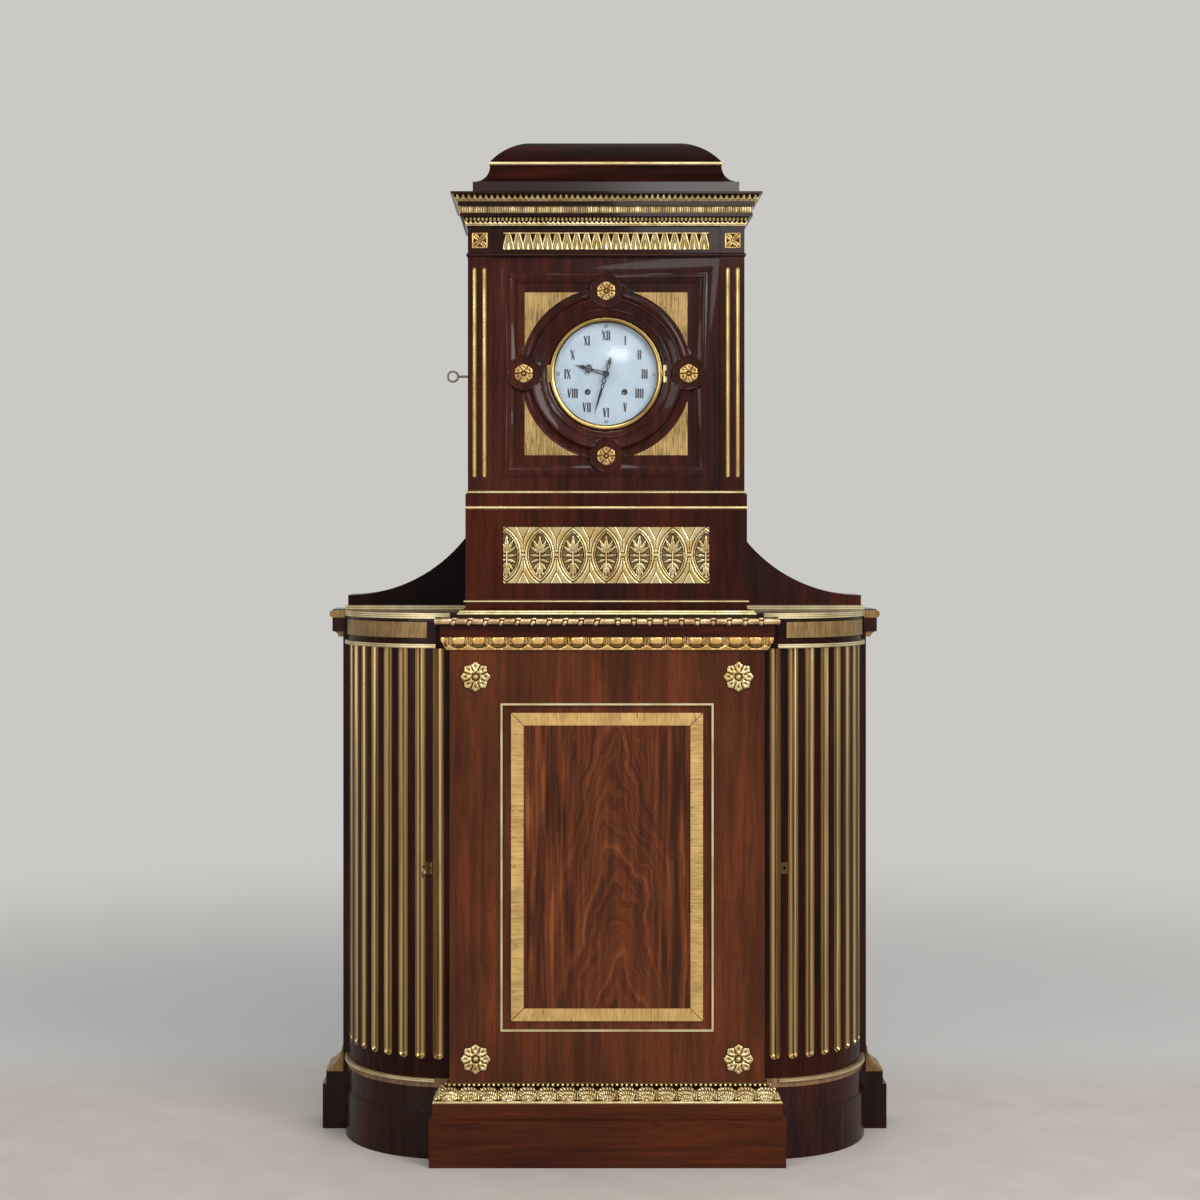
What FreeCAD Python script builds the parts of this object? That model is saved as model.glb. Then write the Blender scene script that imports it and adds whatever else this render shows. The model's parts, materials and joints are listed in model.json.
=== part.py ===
import FreeCAD
import Part
import os
from math import asin, cos, degrees, radians, sin, sqrt
from FreeCAD import Vector

# Longcase clock with quarter-round side cupboards, in millimetres.
# The origin is on the floor, under the middle of the case. +Z is up and the dial faces -Y.

# Whole case
overall_depth = 420.0
front = -overall_depth / 2
back = overall_depth / 2
overrun = 5.0
board = 18.0
thin_board = 12.0
sheet = 3.0
seat_gap = 0.3
door_gap = 1.5

# Plinth
plinth_half = 366.6
plinth_lower_height = 97.7
plinth_upper_height = 30.7
plinth_step = 7.1
plinth_board = 22.0
plinth_sill = 18.0
plinth_return = 100.0
plinth_top = plinth_lower_height + plinth_upper_height
plinth_rear = front + plinth_return

# Trunk, the straight middle of the lower cabinet
trunk_half = 326.0
trunk_setback = 43.0
trunk_front = front + trunk_setback
trunk_inside = trunk_front + board
back_board = 15.0
back_board_face = back - back_board

# Gilt leaf moulding that stands on the plinth
leaf_height = 38.0
leaf_out = 33.0
leaf_pearl_height = 9.0
leaf_pearl_out = 7.0
leaf_fillet_height = 4.0
leaf_ogee_share = 0.16
leaf_pearl_share = -0.45
leaf_return = 14.0
floor_top = plinth_top + leaf_height

# Quarter-round wings
wing_setback = 304.0
wing_y = front + wing_setback
wing_radius = 231.0
wing_board = 19.0
wing_lower_out = 9.0
wing_upper_out = 4.0
wing_fillet_out = 10.0
wing_fillet_height = 7.0

# Corner feet and pilasters at the back
pilaster_reach = 15.0
pilaster_half = trunk_half + wing_radius + pilaster_reach
pilaster_width = 60.0
pilaster_out = 2.0
foot_reach = 45.0
foot_lap = 12.0
foot_half = pilaster_half + foot_reach
foot_inner = pilaster_half - pilaster_width - foot_lap
foot_step = 8.0
foot_upper_height = 27.3
foot_mount_height = 56.0
foot_ogee_share = 0.14

# Top of the lower cabinet
trunk_height = 952.6
case_top = floor_top + trunk_height
top_board_thickness = 17.0
top_slab_height = 5.0
top_slab_half = 303.0
top_edge_out = 5.0
deck = case_top + top_board_thickness
slab_top = deck + top_slab_height
slab_band_out = 10.0
slab_band_drop = 8.0
slab_band_in = 14.0
slab_front = trunk_front + slab_band_in
slab_band_bottom = deck - slab_band_drop

# Cornice of the trunk
egg_height = 25.0
egg_out = 19.0
egg_foot_out = 3.0
fascia_height = 23.5
rope_height = 16.6
rope_out = 30.5
cornice_bottom = slab_band_bottom - rope_height - fascia_height - egg_height
fascia_bottom = cornice_bottom + egg_height
rope_bottom = fascia_bottom + fascia_height
rope_top = rope_bottom + rope_height
rope_edge = 0.7
rope_share = 0.75
egg_share = 0.16
cornice_return = 14.0
cornice_rear = trunk_inside + cornice_return

# Frieze of the wings
frieze_out = 2.0
frieze_fillet_height = 8.0
frieze_plate_height = 33.0
frieze_plate_drop = 2.0
frieze_plate_start = 12.0
frieze_plate_end = 85.0
frieze_height = 57.5
door_top = case_top - frieze_height
frieze_bottom = door_top + door_gap
top_band_height = 12.0

# Capitals of the rear pilasters
capital_reach = 23.0
capital_half = pilaster_half + capital_reach
capital_forward = 6.0
capital_ring_out = 6.0
capital_ring_height = 16.0
capital_block_height = 30.0
capital_neck_height = 12.0
capital_neck_in = 13.0
capital_ring_share = -0.2
capital_neck_share = 0.18
capital_gilt_drop = 2.0
capital_gilt_top = deck - capital_gilt_drop
capital_block_top = capital_gilt_top - capital_ring_height
capital_neck_top = capital_block_top - capital_block_height
capital_bottom = capital_neck_top - capital_neck_height

# Quarter-round doors
door_bottom = floor_top + door_gap
pivot_inset = wing_board / 2 + door_gap
pivot_angle = 90 - degrees(asin(pivot_inset / (wing_radius - wing_board / 2)))
pivot_radius = 3.5
pivot_length = 8.0
running = 0.05
flutes = 9
flute_first = 6.2
flute_pitch = 9.7
flute_radius = 12.0
flute_depth = 8.0
flute_lining = 1.2
flute_bottom = 205.0
keyhole_height = 604.0
keyhole_radius = 3.2
escutcheon_half = 7.0
escutcheon_height = 24.0
escutcheon_thickness = 1.6

# Locks and keys
lock_width = 44.0
lock_height = 44.0
lock_depth = 15.0
lock_inset = 4.0
bolt_width = 30.0
bolt_height = 14.0
bolt_thickness = 4.0
bolt_throw = 10.0
bolt_clearance = 0.4
key_shank_radius = 2.5
key_reach = 36.0
key_bow_radius = 11.0
key_bow_wire = 2.2
key_depth = 28.0

# Sunk front panel
field_half = 220.4
field_rise = 104.6
field_drop = 112.9
field_bottom = floor_top + field_rise
field_top = cornice_bottom - field_drop
field_depth = 5.0
bead_width = 4.0
bead_proud = 2.0
band_half = 198.7
band_width = 25.9
band_rise = 21.0
band_drop = 20.0
band_bottom = field_bottom + band_rise
band_top = field_top - band_drop
band_thickness = 4.0
panel_thickness = 2.5

# Gilt rosettes
rosette_radius = 30.0
rosette_in = 54.0
rosette_rise = 47.6
rosette_drop = 57.9
rosette_x = trunk_half - rosette_in
rosette_low = floor_top + rosette_rise
rosette_high = cornice_bottom - rosette_drop
rosette_petals = 8
rosette_thickness = 4.0
rosette_boss = 9.0
small_rosette_radius = 19.5
petal_notch_share = 0.84
boss_share = 0.36

# Base tier of the upper case
tier_half = 297.0
tier_setback = 129.0
tier_front = front + tier_setback
tier_board = 16.0
tier_height = 244.0
tier_fillet_rise = 14.0
tier_fillet_drop = 32.0
tier_top = slab_top + tier_height
tier_fillet_low = slab_top + tier_fillet_rise
tier_fillet_high = tier_top - tier_fillet_drop
tier_fillet_height = 6.0
tier_fillet_out = 4.0
tier_fillet_in = 2.0
well_half = 125.0
well_setback = 165.0
well_depth = 175.0
well_front = front + well_setback
well_back = well_front + well_depth

# Large gilt plaque on the base tier
plaque_half = 217.0
plaque_rise = 56.0
plaque_height = 118.0
plaque_bottom = slab_top + plaque_rise
plaque_top = plaque_bottom + plaque_height
plaque_thickness = 3.0
plaque_oval_pitch = 70.0
plaque_oval_raise = 1.6
plaque_oval_share = 0.93
plaque_bulge_share = 0.29

# Concave shoulders on the wings
shoulder_in = 11.0
shoulder_half = pilaster_half - shoulder_in
shoulder_board = 15.0
shoulder_foot = 22.0
shoulder_spare = 61.0
shoulder_radius = shoulder_half - tier_half + shoulder_spare
shoulder_band_height = 9.0
shoulder_band_out = 5.0
shoulder_forward = 2.0
shoulder_y = wing_y - shoulder_forward

# Upper case
hood_half = 292.0
hood_setback = 134.0
hood_front = front + hood_setback
hood_board = 16.0
hood_height = 566.0
hood_top = tier_top + hood_height
hood_base_fillet = 7.0
post_width = 51.0
post_depth = 46.0
panel_setback = 5.0
panel_face = hood_front + panel_setback
panel_rear = panel_face + hood_board
frieze_drop = 66.0
frieze_fillet = 9.0
frieze_fillet_low = hood_top - frieze_drop
frieze_fillet_top = frieze_fillet_low + frieze_fillet
post_flute_rise = 35.0
post_flute_drop = 22.0
post_flute_bottom = tier_top + post_flute_rise
post_flute_top = frieze_fillet_low - post_flute_drop
post_flute_inner = 257.0
post_flute_outer = 278.0
post_flute_radius = 4.0
post_flute_depth = 2.6
post_flute_lining = 0.8
side_rail_rise = 15.0
side_rail_drop = 5.0
side_rail_low = tier_top + side_rail_rise
side_rail_high = frieze_fillet_low - side_rail_drop

# Moulded hood front round the dial
dial_rise = 254.0
dial_z = tier_top + dial_rise
frame_half = 217.5
frame_width = 25.5
frame_height = 7.0
frame_edge = 2.5
frame_crown_in = 8.0
frame_crown_width = 8.0
spandrel_half = 172.0
spandrel_thickness = 1.5
ring_outer = 181.0
ring_ridge = 157.0
ring_inner = 135.0
ring_rebate = 119.5
ring_edge_height = 2.0
ring_ridge_height = 12.0
ring_inner_height = 7.0
ring_rebate_height = 4.0
ring_bead = 3.0
ear_radius = 36.0
ear_place = 174.0
ear_height = 11.0
ear_rim = 3.0
ear_sink = 2.0
dial_hole_radius = 114.0
ring_cove_share = -0.2
ring_bead_share = 0.3
ring_ridge_share = 0.35

# Frieze and cornice of the upper case
frieze_block_inner = 241.0
frieze_mount_half = 217.0
frieze_mount_rise = 8.0
frieze_mount_height = 35.0
frieze_mount_bottom = frieze_fillet_top + frieze_mount_rise
frieze_mount_top = frieze_mount_bottom + frieze_mount_height
corner_mount_half = 17.0
corner_mount_x = 267.0
corner_mount_rise = 18.0
corner_mount_z = frieze_mount_bottom + corner_mount_rise
low_leaf_height = 18.0
low_leaf_out = 3.0
low_leaf_spread = 9.0
cornice_step = 4.0
cornice_band_rise = 25.0
cornice_band_bottom = hood_top + cornice_band_rise
cornice_band_height = 15.0
cornice_band_out = 16.0
high_leaf_rise = 50.0
high_leaf_bottom = hood_top + high_leaf_rise
high_leaf_height = 13.0
high_leaf_out = 20.0
high_leaf_spread = 12.0
cornice_height = 68.0
cornice_top = hood_top + cornice_height
cornice_out = 35.0
cornice_wood = 30.0
cornice_rail = 18.0
cornice_leaf_share = -0.12
trim = 4.0

# Caddy top
caddy_half = 282.0
caddy_inset = 10.0
caddy_plinth_height = 27.0
caddy_cove_in = 35.0
caddy_cove_height = 41.0
caddy_cove_top = cornice_top + caddy_plinth_height + caddy_cove_height
caddy_fillet_height = 7.0
caddy_fillet_out = 2.0
caddy_dome_in = 112.0
caddy_dome_height = 53.0
caddy_top_z = caddy_cove_top + caddy_fillet_height + caddy_dome_height
caddy_cove_share = 0.2
caddy_dome_share = -0.08
caddy_board = 14.0

# Hood door in the left side
hood_door_front = hood_front + post_depth + door_gap
hood_rear_stile = 30.0
hood_door_back = back - hood_rear_stile
hood_pivot_x = -hood_half + hood_board / 2
hood_pivot_y = hood_door_back - hood_board / 2
hood_key_inset = 9.0

# Dial, bezel and hands
dial_radius = 112.5
dial_thickness = 2.0
dial_setback = 7.0
dial_face = panel_face + dial_setback
winding_x = 39.0
winding_drop = 38.0
winding_hole_radius = 6.5
bezel_radius = 118.5
bezel_inner = 108.5
bezel_depth = 7.7
bezel_lip = 2.5
glass_thickness = 2.0
glass_rise = 11.0
bezel_hinge_x = 122.4
bezel_hinge_radius = 2.4
bezel_hinge_pin = 1.0
bezel_hinge_length = 36.0
bezel_tab_thickness = 1.2
bezel_hinge_rise = 8.0
bezel_lip_share = -0.2
hand_thickness = 1.4
hour_hand_rise = 4.6
minute_hand_rise = 8.4
hour_hand_front = dial_face - hour_hand_rise
minute_hand_front = dial_face - minute_hand_rise
hour_length = 68.0
minute_length = 89.0
minute_tail = 38.0
hour_width = 14.0
minute_width = 9.0
hand_boss = 7.0
hour_pipe_radius = 4.0
minute_arbor_radius = 2.0
hour_angle = 286.4
minute_angle = 196.2
hand_tip_share = 0.16
hand_swell_share = 0.62
hand_bow_share = 0.05

# Movement
plate_half = 85.0
pillar_top_x = 58.0
plate_thickness = 3.0
dial_gap = 33.0
front_plate = dial_face + dial_thickness + dial_gap
plate_gap = 64.0
back_plate = front_plate + plate_thickness + plate_gap
movement_drop = 79.0
movement_rise = 75.0
movement_bottom = dial_z - movement_drop
movement_top = dial_z + movement_rise
pillar_radius = 5.0
pillar_inset = 10.0
cover_half = 68.0
cover_thickness = 1.5
cover_rise = 80.0
cover_bottom = movement_bottom + cover_rise
dial_foot_radius = 3.0
dial_foot_place = 62.0
barrel_radius = 22.0
barrel_length = 46.0
barrel_flange = 3.0
barrel_flange_out = 4.0
barrel_arbor_radius = 4.0
square_side = 5.0
square_setback = 1.5
seat_half = 155.0
seat_thickness = 20.0
seat_lead = 11.0
seat_front = front_plate - seat_lead
seat_back = back_plate + plate_thickness + seat_lead
upright_x = 132.0
cord_hole_radius = 4.0

# Pendulum and escapement
pendulum_gap = 24.0
pendulum_y = back_plate + plate_thickness + pendulum_gap
swing_drop = 12.3
swing_z = movement_top - swing_drop
pendulum_length = 994.0
rod_radius = 4.0
bob_radius = 78.0
bob_thickness = 28.0
bob_edge = 3.0
bob_share = -0.05
spring_width = 8.0
spring_thickness = 0.4
spring_length = 46.0
rating_nut_radius = 8.0
rating_nut_height = 8.0
rod_below_bob = 28.0
cock_half = 14.0
cock_height = 14.0
cock_lug = 4.0
cock_rise = 6.0
cock_behind = 10.0
lug_ahead = 11.0
cock_rear = pendulum_y + cock_behind
lug_front = pendulum_y - lug_ahead
crutch_arbor_radius = 1.5
crutch_gap = 3.0
crutch_front = back_plate + plate_thickness + crutch_gap
crutch_thickness = 3.0
crutch_width = 7.0
crutch_length = 92.0
fork_gap = 0.6
fork_pin = 2.0
fork_reach = 8.0
anchor_half = 26.0
anchor_height = 9.0
anchor_thickness = 5.0
anchor_gap = 16.0
anchor_y = front_plate + plate_thickness + anchor_gap
anchor_out_share = 0.1
anchor_in_share = -0.15

# Bell and hammer
bell_radius = 46.0
bell_height = 30.0
bell_wall = 2.5
bell_x = 8.0
bell_rise = 48.0
bell_z = movement_top + bell_rise
bell_setback = 41.0
bell_y = front_plate + bell_setback
bell_post_radius = 4.0
bell_crown_radius = 14.0
bell_collar_radius = 8.0
bell_collar_height = 5.0
bell_share = 0.2
hammer_x = 78.0
hammer_rise = 100.0
hammer_z = movement_bottom + hammer_rise
hammer_arbor_radius = 2.0
hammer_arm = 4.0
hammer_head_radius = 7.0
hammer_head_length = 18.0
hammer_gap = 1.4

# Weights and lines
weight_x = 42.0
weight_radius = 35.0
weight_rise = 33.6
weight_bottom = floor_top + weight_rise
weight_height = 200.0
weight_y = front_plate + plate_thickness + plate_gap / 2
weight_dome = 10.0
weight_dome_share = -0.1
stirrup_gap = 0.5
stirrup_height = 50.0
stirrup_width = 5.0
stirrup_half = 9.0
pulley_radius = 21.0
pulley_groove = 1.0
pulley_half = 4.0
pulley_pin = 3.0
line_radius = 0.9


def box(x0, x1, y0, y1, z0, z1):
    return Part.makeBox(x1 - x0, y1 - y0, z1 - z0, Vector(x0, y0, z0))


def slab(half, y0, y1, z0, z1):
    return box(-half, half, y0, y1, z0, z1)


def mirrored(shape):
    return shape.mirror(Vector(0, 0, 0), Vector(1, 0, 0))


def pair(shape):
    return [shape, mirrored(shape)]


def joined(*shapes):
    whole = shapes[0]
    if len(shapes) > 1:
        whole = whole.fuse(list(shapes[1:]))
    return whole.removeSplitter()


def pin(x, y0, y1, z, radius):
    """A round bar from y0 to y1, along +Y."""
    return Part.makeCylinder(radius, y1 - y0, Vector(x, y0, z), Vector(0, 1, 0))


def post(x, y, z0, z1, radius):
    """A round bar from z0 to z1, along +Z."""
    return Part.makeCylinder(radius, z1 - z0, Vector(x, y, z0))


def bulged(start, end, bulge_share):
    """The middle point of an arc that stands off its chord by a share of the chord."""
    along = (end[0] - start[0], end[1] - start[1])
    middle = ((start[0] + end[0]) / 2, (start[1] + end[1]) / 2)
    return (middle[0] - along[1] * bulge_share, middle[1] + along[0] * bulge_share)


def outline(place, start, *steps):
    """A closed wire: a step of two numbers is a line, one of three an arc with its bulge share."""
    edges = []
    here = start
    for step in steps:
        there = step[:2]
        if len(step) == 3:
            middle = bulged(here, there, step[2])
            edges.append(Part.Arc(place(*here), place(*middle), place(*there)).toShape())
        else:
            edges.append(Part.makeLine(place(*here), place(*there)))
        here = there
    if here != start:
        edges.append(Part.makeLine(place(*here), place(*start)))
    return Part.Wire(edges)


def upright(y, thickness, start, *steps):
    """An outline in X and Z, given a thickness towards the back."""
    face = Part.Face(outline(lambda x, z: Vector(x, y, z), start, *steps))
    return face.extrude(Vector(0, thickness, 0))


def moulding(half, face, rear, start, *steps):
    """A section of outward and upward sizes, run round the front and both sides, mitred."""
    path = Part.makePolygon([
        Vector(-half, rear, 0),
        Vector(-half, face, 0),
        Vector(half, face, 0),
        Vector(half, rear, 0),
    ])
    section = outline(lambda out, z: Vector(-half - out, rear, z), start, *steps)
    return path.makePipeShell([section], True, False, 1)


def wing_turned(first, last, start, *steps):
    """A section of radius and height, turned about the right wing's axis between two angles."""
    place = lambda radius, z: Vector(trunk_half, wing_y - radius, z)
    face = Part.Face(outline(place, start, *steps))
    axis = Vector(trunk_half, wing_y, 0)
    turned = face.revolve(axis, Vector(0, 0, 1), last - first)
    turned.rotate(axis, Vector(0, 0, 1), first)
    return turned


def wing_wall(inner, outer, z0, z1, first=0.0, last=90.0):
    return wing_turned(first, last, (inner, z0), (outer, z0), (outer, z1), (inner, z1))


def wing_point(radius, angle):
    """The plan place at an angle from the front of the right wing."""
    x = trunk_half + radius * sin(radians(angle))
    y = wing_y - radius * cos(radians(angle))
    return x, y


def dial_turned(start, *steps):
    """A section of radius and Y, turned once about the dial's axis."""
    face = Part.Face(outline(lambda radius, y: Vector(radius, y, dial_z), start, *steps))
    return face.revolve(Vector(0, 0, dial_z), Vector(0, 1, 0), 360)


def upright_turned(x, y, start, *steps):
    """A section of radius and height, turned once about an upright axis."""
    face = Part.Face(outline(lambda radius, z: Vector(x + radius, y, z), start, *steps))
    return face.revolve(Vector(x, y, 0), Vector(0, 0, 1), 360)


def rectangle(half_x, low, high, y):
    return Part.makePolygon([
        Vector(-half_x, y, low),
        Vector(half_x, y, low),
        Vector(half_x, y, high),
        Vector(-half_x, y, high),
        Vector(-half_x, y, low),
    ])


def against_wings(shape, radius):
    """A shape trimmed where it meets the two quarter rounds."""
    return shape.cut(pair(post(trunk_half, wing_y, -overrun, slab_top, radius)))


# Plinth and floor of the lower cabinet

def plinth_front():
    lower = slab(plinth_half, front, plinth_rear, 0, plinth_lower_height)
    upper_half = plinth_half - plinth_step
    upper = slab(upper_half, front + plinth_step, plinth_rear, plinth_lower_height, plinth_top)
    hollow = slab(
        upper_half - plinth_board,
        front + plinth_step + plinth_board,
        plinth_rear + overrun,
        -overrun,
        plinth_top - plinth_sill,
    )
    return joined(lower, upper).cut(hollow)


def plinth_walls():
    wall_top = floor_top - board
    inner = wing_radius - wing_board
    lower = wing_wall(inner, wing_radius + wing_lower_out, 0, plinth_lower_height)
    upper = wing_wall(inner, wing_radius + wing_upper_out, plinth_lower_height, wall_top)
    clear = slab(plinth_half, front, plinth_rear, -overrun, plinth_lower_height)
    upper_half = plinth_half - plinth_step
    clear_upper = slab(upper_half, front, plinth_rear, plinth_lower_height, plinth_top)
    wall = joined(lower, upper).cut([clear, clear_upper])
    foot = box(foot_inner, foot_half, wing_y, back, 0, plinth_lower_height)
    foot_top = plinth_lower_height + foot_upper_height
    step = box(foot_inner, foot_half - foot_step, wing_y, back, plinth_lower_height, foot_top)
    rail = slab(foot_inner, back_board_face, back, 0, wall_top)
    return [*pair(joined(wall, foot, step)), rail]


def floor_outline(radius, z0, z1):
    """The case in plan, without its rear corners: trunk and both quarter rounds."""
    quarter = wing_wall(0, radius, z0, z1)
    middle = slab(trunk_half, trunk_inside, wing_y, z0, z1)
    rear = slab(trunk_half + radius, wing_y, back_board_face, z0, z1)
    return joined(middle, quarter, mirrored(quarter), rear)


def floor_board():
    whole = floor_outline(wing_radius + wing_upper_out, floor_top - board, floor_top)
    hole = door_pivot_hole(door_bottom - pivot_length - seat_gap, floor_top + overrun)
    corner = box(
        pilaster_half - pilaster_width, pilaster_half, wing_y, back, plinth_top, floor_top + overrun
    )
    return whole.cut([*pair(hole), *pair(corner)])


def base_moulding():
    shoulder = plinth_top + leaf_fillet_height
    pearl = floor_top - leaf_pearl_height
    whole = moulding(
        trunk_half, trunk_front, trunk_inside + leaf_return,
        (0, plinth_top), (leaf_out, plinth_top), (leaf_out, shoulder),
        (leaf_pearl_out, pearl, leaf_ogee_share),
        (leaf_pearl_out, floor_top, leaf_pearl_share), (0, floor_top),
    )
    return against_wings(whole, wing_radius + wing_upper_out)


# Doors of the quarter-round cupboards

def door_pivot():
    middle = wing_radius - wing_board / 2
    return wing_point(middle, pivot_angle)


def door_pivot_hole(z0, z1):
    x, y = door_pivot()
    return post(x, y, z0, z1, pivot_radius + running)


def flute_cutter(radius, bottom, top):
    """A round-ended trough standing at the front of the right wing, before it is turned."""
    axis_y = wing_y - wing_radius - flute_radius + flute_depth
    start = bottom + radius
    bar = post(trunk_half, axis_y, start, top, radius)
    ball = Part.makeSphere(radius, Vector(trunk_half, axis_y, start))
    return bar.fuse(ball)


def around_wing(shape, angle):
    turned = shape.copy()
    turned.rotate(Vector(trunk_half, wing_y, 0), Vector(0, 0, 1), angle)
    return turned


def flute_angles():
    return [flute_first + flute_pitch * i for i in range(flutes)]


def keyhole(radius, inner, outer):
    """A bar along the key's axis, between two radii of the right wing."""
    angle = flute_first + flute_pitch / 2
    x, y = wing_point(inner, angle)
    way = Vector(sin(radians(angle)), -cos(radians(angle)), 0)
    return Part.makeCylinder(radius, outer - inner, Vector(x, y, keyhole_height), way)


def lock_case_block():
    x0 = trunk_half + lock_inset
    y1 = wing_y - wing_radius + wing_board + lock_depth
    y0 = wing_y - wing_radius
    low = keyhole_height - lock_height / 2
    block = box(x0, x0 + lock_width, y0, y1, low, low + lock_height)
    return block.common(post(trunk_half, wing_y, 0, case_top, wing_radius - wing_board))


def bolt_box(clearance):
    x0 = trunk_half + lock_inset
    y = wing_y - wing_radius + wing_board + lock_depth / 2
    low = keyhole_height - bolt_height / 2 - clearance
    return box(
        x0 - clearance, x0 + bolt_width + clearance,
        y - bolt_thickness / 2 - clearance, y + bolt_thickness / 2 + clearance,
        low, low + bolt_height + clearance * 2,
    )


def right_door():
    edge = trunk_half + door_gap
    wall = wing_wall(
        wing_radius - wing_board, wing_radius, door_bottom, door_top, 0, pivot_angle
    )
    x, y = door_pivot()
    hanging = post(x, y, door_bottom, door_top, wing_board / 2)
    cutter = flute_cutter(flute_radius, flute_bottom, door_top + overrun)
    troughs = [around_wing(cutter, angle) for angle in flute_angles()]
    clear = box(0, edge, front, wing_y, door_bottom - overrun, door_top + overrun)
    key_bar = keyhole(keyhole_radius, wing_radius - wing_board * 2, wing_radius + overrun)
    return joined(wall, hanging).cut([clear, key_bar, *troughs])


def door_brass():
    """Flute linings, escutcheon, rim lock and the two pivots of the right door."""
    outer = flute_cutter(flute_radius, flute_bottom, door_top)
    inner = flute_cutter(
        flute_radius - flute_lining, flute_bottom + flute_lining, door_top + overrun
    )
    wall = post(trunk_half, wing_y, flute_bottom - overrun, door_top + overrun, wing_radius)
    lining = outer.cut(inner).common(wall)
    linings = [around_wing(lining, angle) for angle in flute_angles()]
    hole = keyhole(keyhole_radius, wing_radius - overrun, wing_radius + overrun)
    plate = wing_wall(
        wing_radius, wing_radius + escutcheon_thickness,
        keyhole_height - escutcheon_height / 2, keyhole_height + escutcheon_height / 2,
        flute_first + flute_pitch / 2 - degrees(escutcheon_half / wing_radius),
        flute_first + flute_pitch / 2 + degrees(escutcheon_half / wing_radius),
    ).cut(hole)
    key_bar = keyhole(keyhole_radius, wing_radius - key_depth - seat_gap, wing_radius)
    slot = bolt_box(bolt_clearance).fuse(bolt_box(bolt_clearance).translated(
        Vector(-bolt_throw - overrun, 0, 0)
    ))
    lock = lock_case_block().cut([slot, key_bar])
    x, y = door_pivot()
    top_pivot = post(x, y, door_top, door_top + pivot_length, pivot_radius)
    low_pivot = post(x, y, door_bottom - pivot_length, door_bottom, pivot_radius)
    return [*linings, plate, lock, top_pivot, low_pivot]


def door_bolt():
    return bolt_box(0)


def key_shape(reach, depth):
    """A key along +X, with its bow beyond the reach and its shank's end at minus the depth."""
    shank = Part.makeCylinder(
        key_shank_radius, reach + depth, Vector(-depth, 0, 0), Vector(1, 0, 0)
    )
    middle = Vector(reach + key_bow_radius, 0, 0)
    bow = Part.makeTorus(key_bow_radius, key_bow_wire, middle, Vector(0, 1, 0))
    return shank.fuse(bow)


def door_key():
    """The right door's key, before it is mirrored to the left."""
    angle = flute_first + flute_pitch / 2
    key = key_shape(key_reach, key_depth - seat_gap)
    key.rotate(Vector(0, 0, 0), Vector(0, 0, 1), angle - 90)
    x, y = wing_point(wing_radius, angle)
    key.translate(Vector(x, y, keyhole_height))
    return key


# Walls of the lower cabinet

def field_box(half, low, high, y0, y1):
    return slab(half, y0, y1, low, high)


def front_board():
    whole = slab(trunk_half, trunk_front, trunk_inside, plinth_top, case_top)
    sunk = field_box(
        field_half, field_bottom, field_top, trunk_front - overrun, trunk_front + field_depth
    )
    return whole.cut(sunk)


def front_panel():
    """The figured panel inside the gilt band, on the sunk field."""
    half = band_half - band_width
    return field_box(
        half, band_bottom + band_width, band_top - band_width,
        trunk_front + field_depth - panel_thickness, trunk_front + field_depth,
    )


def front_panel_band():
    y0 = trunk_front + field_depth - band_thickness
    y1 = trunk_front + field_depth
    whole = field_box(band_half, band_bottom, band_top, y0, y1)
    half = band_half - band_width
    return whole.cut(field_box(
        half, band_bottom + band_width, band_top - band_width, y0 - overrun, y1 + overrun
    ))


def panel_bead():
    y0 = trunk_front - bead_proud
    y1 = trunk_front + field_depth
    whole = field_box(field_half, field_bottom, field_top, y0, y1)
    inner = field_box(
        field_half - bead_width, field_bottom + bead_width, field_top - bead_width,
        y0 - overrun, y1 + overrun,
    )
    return whole.cut(inner)


def cheeks():
    cheek = box(trunk_half - board, trunk_half, trunk_inside, back_board_face, floor_top, case_top)
    bolt_hole = bolt_box(bolt_clearance).translated(Vector(-bolt_throw, 0, 0))
    return pair(cheek.cut(bolt_hole))


def pilasters():
    inner = pilaster_half - pilaster_width
    foot_top = plinth_lower_height + foot_upper_height
    shaft = box(inner, pilaster_half, wing_y, back_board_face, foot_top, case_top)
    block = box(
        pilaster_half, capital_half, wing_y - capital_forward, back_board_face,
        capital_neck_top, capital_block_top,
    )
    front_block = box(
        trunk_half + wing_radius + wing_fillet_out + seat_gap, pilaster_half,
        wing_y - capital_forward, wing_y, capital_neck_top, capital_block_top,
    )
    return pair(joined(shaft, block, front_block))


def back_board():
    foot_top = plinth_lower_height + foot_upper_height
    whole = slab(pilaster_half, back_board_face, back, foot_top, case_top)
    rail = slab(foot_inner, back_board_face, back, foot_top, floor_top - board)
    return whole.cut(rail)


def wing_friezes():
    wall = wing_wall(wing_radius - wing_board, wing_radius + frieze_out, frieze_bottom, case_top)
    hole = door_pivot_hole(frieze_bottom - overrun, frieze_bottom + pivot_length)
    clear = cornice_envelope()
    return pair(wall.cut([hole, clear]))


def cornice_envelope():
    half = trunk_half + rope_out
    return slab(half, front, cornice_rear, cornice_bottom, rope_top)


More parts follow.
